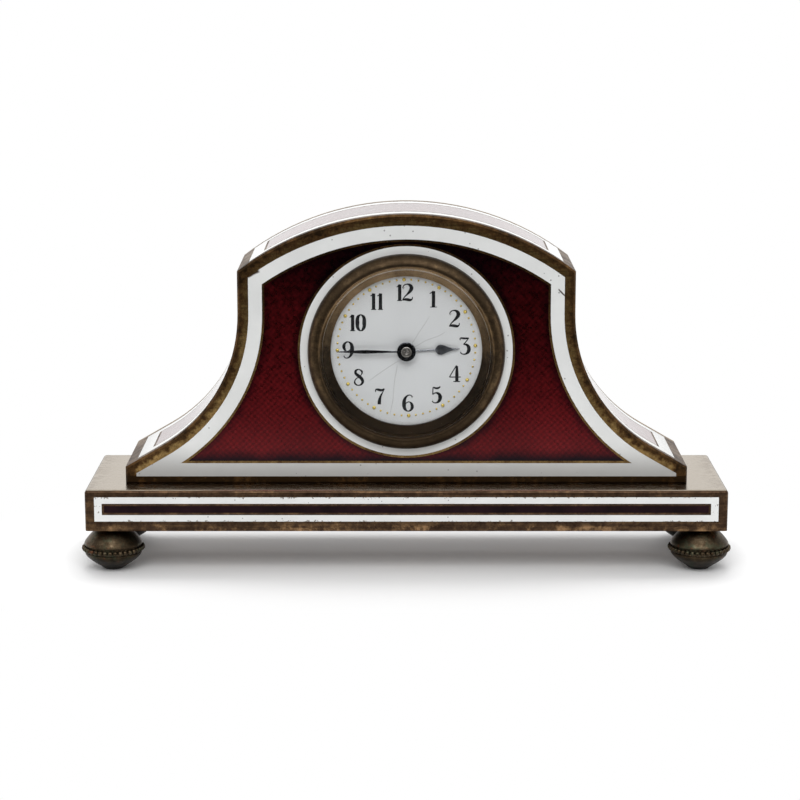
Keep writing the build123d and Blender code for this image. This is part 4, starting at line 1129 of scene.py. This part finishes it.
# Strokes of the figures, each a run of x, height and half width for a figure one unit high
FIGURES = {
    "0": [
        [
            (0.0, 0.98, HAIR), (0.15, 0.84, 0.07), (0.19, 0.5, THICK), (0.15, 0.16, 0.07),
            (0.0, 0.02, HAIR), (-0.15, 0.16, 0.07), (-0.19, 0.5, THICK), (-0.15, 0.84, 0.07),
            (0.0, 0.98, HAIR),
        ]
    ],
    "1": [
        [(0.03, 0.02, THICK), (0.03, 0.5, THICK), (0.03, 0.96, THICK)],
        [(0.02, 0.97, 0.03), (-0.09, 0.86, 0.03), (-0.19, 0.81, HAIR)],
        [(-0.15, 0.018, HAIR), (0.03, 0.018, HAIR), (0.21, 0.018, HAIR)],
    ],
    "2": [
        [
            (-0.21, 0.74, HAIR), (-0.18, 0.88, HAIR), (-0.02, 0.98, 0.028), (0.14, 0.90, 0.07),
            (0.19, 0.75, THICK), (0.12, 0.56, 0.07), (-0.03, 0.36, 0.035), (-0.17, 0.17, HAIR),
            (-0.23, 0.03, HAIR),
        ],
        [(-0.16, 0.75, 0.065), (-0.15, 0.74, 0.065)],
        [
            (-0.22, 0.05, 0.03), (-0.10, 0.085, 0.06), (0.04, 0.065, 0.07), (0.15, 0.055, 0.055),
            (0.225, 0.12, 0.026), (0.24, 0.23, HAIR),
        ],
    ],
    "3": [
        [
            (-0.2, 0.84, HAIR), (-0.185, 0.955, 0.03), (-0.06, 0.955, 0.045), (0.08, 0.95, 0.045),
            (0.2, 0.98, HAIR),
        ],
        [(0.2, 0.98, HAIR), (0.09, 0.78, HAIR), (-0.04, 0.59, HAIR)],
        [
            (-0.04, 0.59, HAIR), (0.11, 0.57, 0.055), (0.2, 0.42, 0.08), (0.19, 0.18, 0.08),
            (0.06, 0.03, 0.036), (-0.1, 0.03, HAIR), (-0.2, 0.12, HAIR),
        ],
        [(-0.165, 0.16, 0.062), (-0.16, 0.165, 0.062)],
    ],
    "4": [
        [(0.09, 0.02, 0.075), (0.09, 0.5, 0.075), (0.09, 0.95, 0.05)],
        [(0.07, 0.98, HAIR), (-0.09, 0.64, HAIR), (-0.25, 0.3, HAIR)],
        [(-0.26, 0.285, HAIR), (0.02, 0.285, HAIR), (0.27, 0.285, HAIR)],
        [(-0.07, 0.018, HAIR), (0.09, 0.018, HAIR), (0.25, 0.018, HAIR)],
    ],
    "5": [
        [
            (-0.14, 0.96, HAIR), (-0.03, 0.90, 0.045), (0.09, 0.90, 0.05), (0.16, 0.95, 0.035),
            (0.2, 1.0, HAIR),
        ],
        [(-0.14, 0.95, HAIR), (-0.15, 0.74, HAIR), (-0.16, 0.52, HAIR)],
        [
            (-0.16, 0.52, HAIR), (-0.04, 0.61, 0.028), (0.11, 0.57, 0.06), (0.19, 0.38, THICK),
            (0.15, 0.15, 0.07), (0.02, 0.025, 0.03), (-0.12, 0.04, HAIR), (-0.19, 0.12, HAIR),
        ],
        [(-0.155, 0.15, 0.06), (-0.15, 0.155, 0.06)],
    ],
    "6": [
        [
            (0.19, 0.84, HAIR), (0.15, 0.94, HAIR), (0.04, 0.98, HAIR), (-0.09, 0.89, 0.045),
            (-0.18, 0.68, 0.075), (-0.2, 0.4, THICK), (-0.16, 0.16, 0.07), (-0.02, 0.02, HAIR),
            (0.11, 0.08, 0.045), (0.18, 0.24, 0.075), (0.16, 0.43, 0.065), (0.06, 0.565, HAIR),
            (-0.06, 0.54, HAIR), (-0.15, 0.42, HAIR),
        ],
        [(0.145, 0.83, 0.055), (0.14, 0.835, 0.055)],
    ],
    "7": [
        [
            (-0.21, 0.78, HAIR), (-0.19, 0.93, 0.03), (-0.08, 0.92, 0.06), (0.07, 0.89, 0.06),
            (0.2, 0.98, HAIR),
        ],
        [
            (0.21, 0.98, HAIR), (0.12, 0.76, HAIR), (0.02, 0.5, 0.05), (-0.03, 0.24, 0.078),
            (-0.035, 0.04, 0.078),
        ],
    ],
    "8": [
        [
            (0.0, 0.98, HAIR), (-0.13, 0.9, 0.05), (-0.15, 0.76, 0.062), (0.0, 0.57, 0.075),
            (0.15, 0.38, 0.075), (0.18, 0.2, 0.06), (0.0, 0.02, HAIR), (-0.18, 0.15, 0.04),
            (-0.16, 0.35, HAIR), (0.0, 0.52, HAIR), (0.13, 0.68, HAIR), (0.15, 0.84, 0.045),
            (0.0, 0.98, HAIR),
        ]
    ],
}
FIGURES["9"] = [[(-x, 1 - y, half) for x, y, half in stroke] for stroke in FIGURES["6"]]

# How far each hour's painted numeral sits from its true place along the radius, in millimetres
NUDGES = {3: 0.3, 4: -0.2, 9: 0.4, 10: -0.25, 11: -0.1}

# Where the two figures of a numeral stand, for a figure one unit high
PAIR_SHIFTS = {"10": (-0.33, 0.17), "11": (-0.21, 0.19), "12": (-0.3, 0.17)}


def dial_place(sizes, reach, share):
    """A place on the dial's front, at a distance from the middle and a share of a turn from 12."""
    turn = math.radians(90 + DIAL_TURN - 360 * share)
    up = DIAL_MIDDLE + sizes.print_rise / MM + reach * math.sin(turn)
    return reach * math.cos(turn), DIAL_FRONT, up


def stroke_curve(name, strokes):
    """A curve object of swelling strokes."""
    select_none()
    bpy.ops.curve.primitive_bezier_curve_add(location=(0, 0, 0))
    piece = bpy.context.active_object
    piece.name = name
    drawing = piece.data
    drawing.splines.clear()
    drawing.dimensions = "3D"
    drawing.bevel_depth = 1.0
    drawing.bevel_resolution = 2
    drawing.resolution_u = 6
    drawing.use_fill_caps = True
    drawing.twist_mode = "Z_UP"
    for stroke in strokes:
        spline = drawing.splines.new("BEZIER")
        spline.bezier_points.add(len(stroke) - 1)
        for point, (x, y, half) in zip(spline.bezier_points, stroke):
            point.co = (x, y, 0.0)
            point.radius = half
            point.handle_left_type = "AUTO"
            point.handle_right_type = "AUTO"
    return piece


class TIMEPIECE_OT_numerals(bpy.types.Operator):
    """Paints the twelve hour numerals"""

    bl_idname = "timepiece.numerals"
    bl_label = "Numerals"

    def execute(self, context):
        sizes = context.scene.timepiece_sizes
        piece = join([self.paint(sizes, hour) for hour in range(1, 13)])
        call(piece, "hour_numerals")
        settle(piece, "case", INK, angle=30)
        return {"FINISHED"}

    def paint(self, sizes, hour):
        text = str(hour)
        strokes = []
        for figure, shift in zip(text, PAIR_SHIFTS.get(text, (0.0,))):
            stretch = SLIM if figure in "01" else STOUT
            if figure == "1" and len(text) > 1:
                stretch = LEAN
            weight = STEM if figure == "1" else BOLD
            for stroke in FIGURES[figure]:
                points = [(x * stretch + shift, y - 0.5, half * weight) for x, y, half in stroke]
                strokes.append(points)
        piece = stroke_curve(f"numeral_{text}", strokes)
        bpy.ops.object.convert(target="MESH")
        height = sizes.numeral_height
        bpy.ops.transform.resize(value=(height, height, sizes.numeral_depth / (THICK * BOLD)))
        fix_place()
        piece.rotation_euler = (math.pi / 2, 0, 0)
        reach = sizes.numeral_ring / MM + NUDGES.get(hour, 0.0)
        piece.location = [part * MM for part in dial_place(sizes, reach, hour / 12)]
        fix_place()
        return piece


class TIMEPIECE_OT_dots(bpy.types.Operator):
    """Sets the ring of gold minute and hour dots"""

    bl_idname = "timepiece.dots"
    bl_label = "Gold Dots"

    def execute(self, context):
        sizes = context.scene.timepiece_sizes
        pieces = []
        for minute in range(60):
            radius = (sizes.minute_dot if minute % 5 else sizes.hour_dot) / MM
            rise = DOT_RISE * radius
            profile = [(radius, DOT_SINK)]
            profile += [(wide * radius, -high * rise) for wide, high in DOT_PROFILE]
            middle = dial_place(sizes, sizes.dot_ring / MM, minute / 60)
            pieces.append(turned(f"dot_{minute:02d}", profile, middle, "Y", DOT_SEGMENTS))
        piece = call(join(pieces), "gold_minute_dots")
        settle(piece, "case", GOLD, angle=60)
        return {"FINISHED"}


# Hands, as distance from the middle and half width in millimetres
MINUTE_WIDTHS = [
    (1.2, 0.13), (2.6, 0.16), (4.2, 0.22), (5.8, 0.28), (7.0, 0.31), (8.2, 0.28), (9.6, 0.2),
    (10.9, 0.13), (12.0, 0.06),
]
HOUR_WIDTHS = [
    (1.2, 0.14), (3.4, 0.14), (4.8, 0.14), (5.0, 0.18), (5.12, 0.42), (5.32, 0.64), (5.6, 0.82),
    (5.95, 0.87), (6.3, 0.8), (6.65, 0.67), (7.0, 0.52), (7.4, 0.36), (7.8, 0.24), (8.4, 0.14),
    (9.2, 0.06),
]
HAND_THICKNESS = 0.16
HOUR_RIDGE = 0.08
MINUTE_RIDGE = 0.06
HOUR_TURN = 2.6
MINUTE_TURN = 180.0
ON_LINE = 1e-4
ON_MIDDLE = 1e-7

# Rings of the collets and the nut: radius, and distance behind a hand's back or front
EYE_BACK = [(0.96, 0.0), (1.55, 0.0), (1.6, -0.05)]
EYE_FRONT = [(1.6, 0.05), (1.5, 0.0), (0.96, 0.0)]
COLLET_BACK = [(0.56, 0.0), (1.4, 0.0), (1.45, -0.25), (1.55, -0.27)]
COLLET_FRONT = [(1.6, 0.08), (1.52, 0.0), (1.14, 0.0), (1.06, 0.06), (1.0, 0.16), (0.56, 0.16)]
NUT = [
    (0.9, 0.17), (0.92, 0.02), (0.86, -0.05), (0.76, -0.07), (0.68, -0.02), (0.62, 0.12), (0.57, 0.12),
    (0.52, -0.08), (0.46, -0.16), (0.36, -0.18), (0.27, -0.14), (0.2, -0.06), (0.05, -0.055),
]
EYE_SEGMENTS = 48
COLLET_SEGMENTS = 64
NUT_SEGMENTS = 40


def rings_at(rings, place):
    """Rings that are measured from a place in y."""
    return [(radius, place + step) for radius, step in rings]


def collet(name, back_rings, front_rings, back, front, segments):
    """Collet turned from its back to its front, and closed along its bore."""
    profile = rings_at(back_rings, back) + rings_at(front_rings, front)
    middle = (0, 0, DIAL_MIDDLE)
    return turned(name, profile + profile[:1], middle, "Y", segments, solid=False)


def ridge_hand(name, widths, ridge, back, turn):
    """Hand with a raised middle line."""
    count = len(widths) - 1
    select_none()
    bpy.ops.mesh.primitive_grid_add(
        x_subdivisions=count, y_subdivisions=2, size=2.0, location=(0, 0, 0)
    )
    piece = named(name)
    bpy.ops.object.mode_set(mode="EDIT")
    for number, (distance, half) in enumerate(widths):
        place = -1.0 + 2.0 * number / count
        pick_points(
            piece,
            lambda point, place=place: abs(point.x - place) < ON_LINE and abs(point.z) < ON_LINE,
        )
        bpy.ops.transform.resize(value=(1, half * MM, 1), center_override=(place, 0, 0))
        bpy.ops.transform.translate(value=(distance * MM - place, 0, 1.0 + number))
    bpy.ops.mesh.select_all(action="SELECT")
    bpy.ops.transform.resize(value=(1, 1, 0), center_override=(0, 0, 0))
    thickness = HAND_THICKNESS * MM
    bpy.ops.mesh.extrude_region_move(TRANSFORM_OT_translate={"value": (0, 0, thickness)})
    pick_points(piece, lambda point: abs(point.y) < ON_MIDDLE and point.z > 0.5 * thickness)
    bpy.ops.transform.translate(value=(0, 0, ridge * MM))
    close_up()
    bpy.ops.object.mode_set(mode="OBJECT")
    piece.rotation_euler = (math.pi / 2, -math.radians(turn), 0)
    piece.location = (0, back * MM, DIAL_MIDDLE * MM)
    only(piece)
    fix_place()
    return piece


class TIMEPIECE_OT_hands(bpy.types.Operator):
    """Files the two hands with a soft ridge, and turns their collets and nut"""

    bl_idname = "timepiece.hands"
    bl_label = "Hands"

    def execute(self, context):
        front, back = (corner.y for corner in corners("hour_hand"))
        hand = ridge_hand("pear_hour_hand", HOUR_WIDTHS, HOUR_RIDGE, back, HOUR_TURN)
        eye = collet("hour_eye", EYE_BACK, EYE_FRONT, back, front, EYE_SEGMENTS)
        piece = join([hand, eye])
        settle(piece, "hour", HOUR_STEEL, angle=30)
        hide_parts("hour_hand")

        front, back = (corner.y for corner in corners("minute_hand"))
        hand = ridge_hand("leaf_minute_hand", MINUTE_WIDTHS, MINUTE_RIDGE, back, MINUTE_TURN)
        eye = collet("minute_collet", COLLET_BACK, COLLET_FRONT, back, front, COLLET_SEGMENTS)
        piece = join([hand, eye])
        settle(piece, "hand_setting", BLUED, angle=30)
        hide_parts("minute_hand")

        nut = turned("hand_nut", rings_at(NUT, front), (0, 0, DIAL_MIDDLE), "Y", NUT_SEGMENTS)
        settle(nut, "hand_setting", WORN, angle=40)
        return {"FINISHED"}


# Screws

# Head of a back screw: its radius, and its underside and crown in y
BACK_HEAD = (1.5, 12.1, 13.0)
UPPER_SCREW = 24.7
HEAD_SEGMENTS = 40

# Head of a bridge screw: its radius and height
BRIDGE_HEAD = (0.8, 0.4)

# Turns of the slots, in degrees
BACK_TURNS = (20, 105, 160, 55)
SLOT_TURN = 47

# Half width of a slot as a share of the head's radius, and depths as shares of its height
SLOT_SHARE = 0.2
BACK_SLOT = 0.45
BRIDGE_SLOT = 0.5

# Head of a back screw as shares of its radius and of its rise
HEAD_PROFILE = [(0.98, 0.0), (1.0, 0.12), (1.0, 0.45), (0.95, 0.72), (0.8, 0.9), (0.45, 1.0)]


def saw_slot(screw, middle, radius, depth, turn=0.0):
    """Saws a slot across a screw's head. The middle is that of the crown, in millimetres."""
    select_none()
    bpy.ops.mesh.primitive_cube_add(size=1.0, location=Vector(middle) * MM)
    saw = bpy.context.active_object
    saw.scale = (3 * radius * MM, 2 * depth * MM, 2 * SLOT_SHARE * radius * MM)
    saw.rotation_euler = (0, math.radians(turn), 0)
    fix_place()
    only(screw)
    apply_modifier(screw, "BOOLEAN", operation="DIFFERENCE", solver="EXACT", object=saw)
    only(saw)
    bpy.ops.object.delete()


def screw_head(name, radius, under, crown):
    """Low domed screw head that faces backwards, with a sawn slot, on the middle line."""
    rise = crown - under
    profile = [(radius * wide, under + rise * high) for wide, high in HEAD_PROFILE]
    head = turned(name, profile, (0, 0, 0), "Y", HEAD_SEGMENTS)
    saw_slot(head, (0, crown, 0), radius, BACK_SLOT * rise)
    return head


def slotted_group(node, name, radius, height):
    """Copy of a group of frame screws, each with a slot sawn in its head at another angle."""
    frame_copy(node, name)
    bpy.ops.object.mode_set(mode="EDIT")
    bpy.ops.mesh.select_all(action="SELECT")
    bpy.ops.mesh.separate(type="LOOSE")
    bpy.ops.object.mode_set(mode="OBJECT")
    crowns = []
    for screw in bpy.context.selected_objects:
        axes = list(zip(*(point.co for point in screw.data.vertices)))
        low, high = (Vector(map(pick, axes)) / MM for pick in (min, max))
        crowns.append(((low.x + high.x) / 2, high.y, (low.z + high.z) / 2, screw))
    crowns.sort(key=lambda crown: (round(crown[0], 3), round(crown[2], 3)))
    for number, (*middle, screw) in enumerate(crowns):
        saw_slot(screw, middle, radius, BRIDGE_SLOT * height, SLOT_TURN * number)
    piece = call(join([screw for *middle, screw in crowns]), name)
    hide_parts(node)
    return piece


class TIMEPIECE_OT_screws(bpy.types.Operator):
    """Turns the slotted heads of the back plate's screws, and slots those of the bridges"""

    bl_idname = "timepiece.screws"
    bl_label = "Slotted Screws"

    def execute(self, context):
        low, high = corners("back_screws")
        radius = BACK_HEAD[0]
        upper = high.z - radius
        lower = low.z + radius
        wide = high.x - radius
        places = [(-UPPER_SCREW, upper), (UPPER_SCREW, upper), (-wide, lower), (wide, lower)]
        first = screw_head("back_screw_head", *BACK_HEAD)
        heads = []
        for (across, up), turn in zip(places, BACK_TURNS):
            head = copied(first)
            head.rotation_euler = (0, math.radians(turn), 0)
            head.location = (across * MM, 0, up * MM)
            fix_place()
            heads.append(head)
        only(first)
        bpy.ops.object.delete()
        piece = call(join(heads), "slotted_back_screws")
        settle(piece, "case", SCREW, angle=30)
        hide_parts("back_screws")
        piece = slotted_group("bridge_screws", "slotted_bridge_screws", *BRIDGE_HEAD)
        settle(piece, "case", BLUE_SCREW, angle=30)
        return {"FINISHED"}


# Metalwork with softened edges: node, body, slot, finish and width of the edge
EASED = [
    ("back_plate", "case", "case_brass", BACK_BRASS, 0.24),
    ("back_door", "door", "case_brass", DOOR_BRASS, 0.24),
    ("barrel_bridge", "case", "movement_brass", SPOTTED, 0.12),
    ("train_bridge", "case", "movement_brass", SPOTTED, 0.12),
    ("balance_cock", "case", "movement_brass", SPOTTED, 0.1),
    ("setting_knob", "hand_setting", "movement_brass", GILT, 0.12),
    ("winding_key", "winding", "movement_brass", GILT, 0.12),
]


class TIMEPIECE_OT_metalwork(bpy.types.Operator):
    """Softens the edges of the back plate, the door, the bridges, the knob and the key"""

    bl_idname = "timepiece.metalwork"
    bl_label = "Softened Metalwork"

    def execute(self, context):
        for node, body, slot, finish, width in EASED:
            piece = eased(node, f"softened_{node}", width)
            settle(piece, body, finish, angle=50)
            level_faces(piece)
        return {"FINISHED"}


# Stage, in millimetres. The floor is seen white past the reach of the shadow
CAMERA_PLACE = (-1.1, -408.3, 110.9)
CAMERA_PITCH = 11.5
CAMERA_LENS = 106.2
CAMERA_SENSOR = 36.0
CAMERA_NEAR = 10.0
TABLE_EDGE = -118.0
FLOOR_HALF = 3000
FLOOR_BACK = 5000
SHADOW_REACH = 24.0
CARD_REACH = 900
CARD_HALF_HEIGHT = 200
CARD_PLACE = (0, -600, 60)
CARD_DROP = -2.0
FLOOR_TONES = ((0.88, 0.88, 0.885), (0.9, 0.9, 0.9))
CARD_TONES = ((0.012, 0.012, 0.012), (0.02, 0.02, 0.02))
SKY_FILL = 0.65
SEEN_WHITE = ("Camera", "Transmission", "Glossy")

# Soft lamps: name, place, aim, width and height, and watts. One of them shows in polished metal
LAMPS = [
    ("overhead_softbox", (0, 190, 500), (0, 0, 0), (400, 260), 1.3),
    ("front_softbox", (0, -400, 400), (0, 0, 30), (460, 300), 1.5),
    ("back_softbox", (0, 520, 170), (0, 0, 20), (900, 280), 2.2),
]
MIRRORED_LAMP = "front_softbox"


class TIMEPIECE_OT_stage(bpy.types.Operator):
    """Sets the floor, the dark cards, the light and the camera"""

    bl_idname = "timepiece.stage"
    bl_label = "Stage"

    def execute(self, context):
        self.floor()
        self.cards()
        self.sky(context.scene)
        self.lamps()
        select_none()
        bpy.ops.object.camera_add(
            location=Vector(CAMERA_PLACE) * MM, rotation=(math.radians(90 - CAMERA_PITCH), 0, 0)
        )
        camera = bpy.context.active_object
        camera.name = "camera"
        camera.data.lens = CAMERA_LENS
        camera.data.sensor_width = CAMERA_SENSOR
        camera.data.clip_start = CAMERA_NEAR * MM
        context.scene.camera = camera
        context.scene.view_settings.view_transform = "Standard"
        return {"FINISHED"}

    def sheet(self, name, low, high, height):
        """A flat sheet between two corners, in millimetres."""
        select_none()
        bpy.ops.mesh.primitive_plane_add(size=1.0, location=(0, 0, 0))
        piece = bpy.context.active_object
        piece.scale = ((high[0] - low[0]) * MM, (high[1] - low[1]) * MM, 1.0)
        middle = ((low[0] + high[0]) / 2, (low[1] + high[1]) / 2, height)
        piece.location = [part * MM for part in middle]
        return named(name)

    def floor(self):
        floor = self.sheet("pale_floor", (-FLOOR_HALF, TABLE_EDGE), (FLOOR_HALF, FLOOR_BACK), 0.0)
        finish = Finish("pale_floor")
        shade = finish.grain(0.01).tones(*FLOOR_TONES)
        finish.set(Base_Color=shade, Roughness=0.9)
        glow = finish.add("ShaderNodeEmission", {"Color": (1, 1, 1), "Strength": 1.0})
        past_end = (abs(finish.x) - BASE_END).most(0.0)
        past_side = (abs(finish.y) - BASE_BACK).most(0.0)
        far = reach(past_end, past_side).span(0.0, SHADOW_REACH)
        floor.data.materials.append(finish.blend(far * finish.rays(*SEEN_WHITE), glow))

    def cards(self):
        """Dark cards on the camera's side: one beyond the table's edge, one behind the camera."""
        finish = Finish("dark_card")
        shade = finish.noise(0.01, 2.0, 0.5).tones(*CARD_TONES)
        finish.set(Base_Color=shade, Roughness=0.95, Specular_IOR_Level=0.0)
        low = self.sheet("low_card", (-CARD_REACH, -CARD_REACH), (CARD_REACH, TABLE_EDGE), CARD_DROP)
        corner = (CARD_REACH, CARD_HALF_HEIGHT)
        tall = self.sheet("tall_card", (-CARD_REACH, -CARD_HALF_HEIGHT), corner, 0.0)
        tall.rotation_euler = (math.pi / 2, 0, 0)
        tall.location = Vector(CARD_PLACE) * MM
        only(tall)
        fix_place()
        for card in (low, tall):
            card.data.materials.append(finish.material)
            card.visible_camera = False

    def sky(self, scene):
        scene.world = bpy.data.worlds.new("studio")
        scene.world.use_nodes = True
        nodes = Nodes(scene.world.node_tree)
        level = nodes.rays(*SEEN_WHITE).span(0.0, 1.0, SKY_FILL, 1.0)
        back = nodes.add("ShaderNodeBackground", {"Color": (1, 1, 1), "Strength": level})
        nodes.add("ShaderNodeOutputWorld", {"Surface": back.outputs[0]})

    def lamps(self):
        for name, place, aim, (wide, tall), watts in LAMPS:
            select_none()
            bpy.ops.object.light_add(type="AREA", location=Vector(place) * MM)
            lamp = bpy.context.active_object
            lamp.name = name
            lamp.data.shape = "RECTANGLE"
            lamp.data.size = wide * MM
            lamp.data.size_y = tall * MM
            lamp.visible_camera = False
            lamp.visible_glossy = name == MIRRORED_LAMP
            lamp.data.energy = watts
            way = Vector(aim) - Vector(place)
            lamp.rotation_euler = way.to_track_quat("-Z", "Y").to_euler()


class TIMEPIECE_PT_panel(bpy.types.Panel):
    """Lists the operators of the timepiece, its sizes and its colours"""

    bl_label = "Timepiece"
    bl_idname = "TIMEPIECE_PT_panel"
    bl_space_type = "VIEW_3D"
    bl_region_type = "UI"
    bl_category = "Timepiece"

    def draw(self, context):
        for step in STEPS:
            self.layout.operator(step.bl_idname)
        for group in (context.scene.timepiece_sizes, context.scene.timepiece_colours):
            box = self.layout.box()
            for key in group.__annotations__:
                box.prop(group, key)


STEPS = (
    TIMEPIECE_OT_finishes,
    TIMEPIECE_OT_feet,
    TIMEPIECE_OT_bezel,
    TIMEPIECE_OT_numerals,
    TIMEPIECE_OT_dots,
    TIMEPIECE_OT_hands,
    TIMEPIECE_OT_screws,
    TIMEPIECE_OT_metalwork,
    TIMEPIECE_OT_stage,
)
CLASSES = (TimepieceSizes, TimepieceColours, *STEPS, TIMEPIECE_PT_panel)


def register():
    for item in CLASSES:
        bpy.utils.register_class(item)
    bpy.types.Scene.timepiece_sizes = PointerProperty(type=TimepieceSizes)
    bpy.types.Scene.timepiece_colours = PointerProperty(type=TimepieceColours)


def unregister():
    del bpy.types.Scene.timepiece_colours
    del bpy.types.Scene.timepiece_sizes
    for item in reversed(CLASSES):
        bpy.utils.unregister_class(item)


def main():
    register()
    bpy.ops.timepiece.finishes()
    bpy.ops.timepiece.feet()
    bpy.ops.timepiece.bezel()
    bpy.ops.timepiece.numerals()
    bpy.ops.timepiece.dots()
    bpy.ops.timepiece.hands()
    bpy.ops.timepiece.screws()
    bpy.ops.timepiece.metalwork()
    bpy.ops.timepiece.stage()


if __name__ == "__main__":
    main()
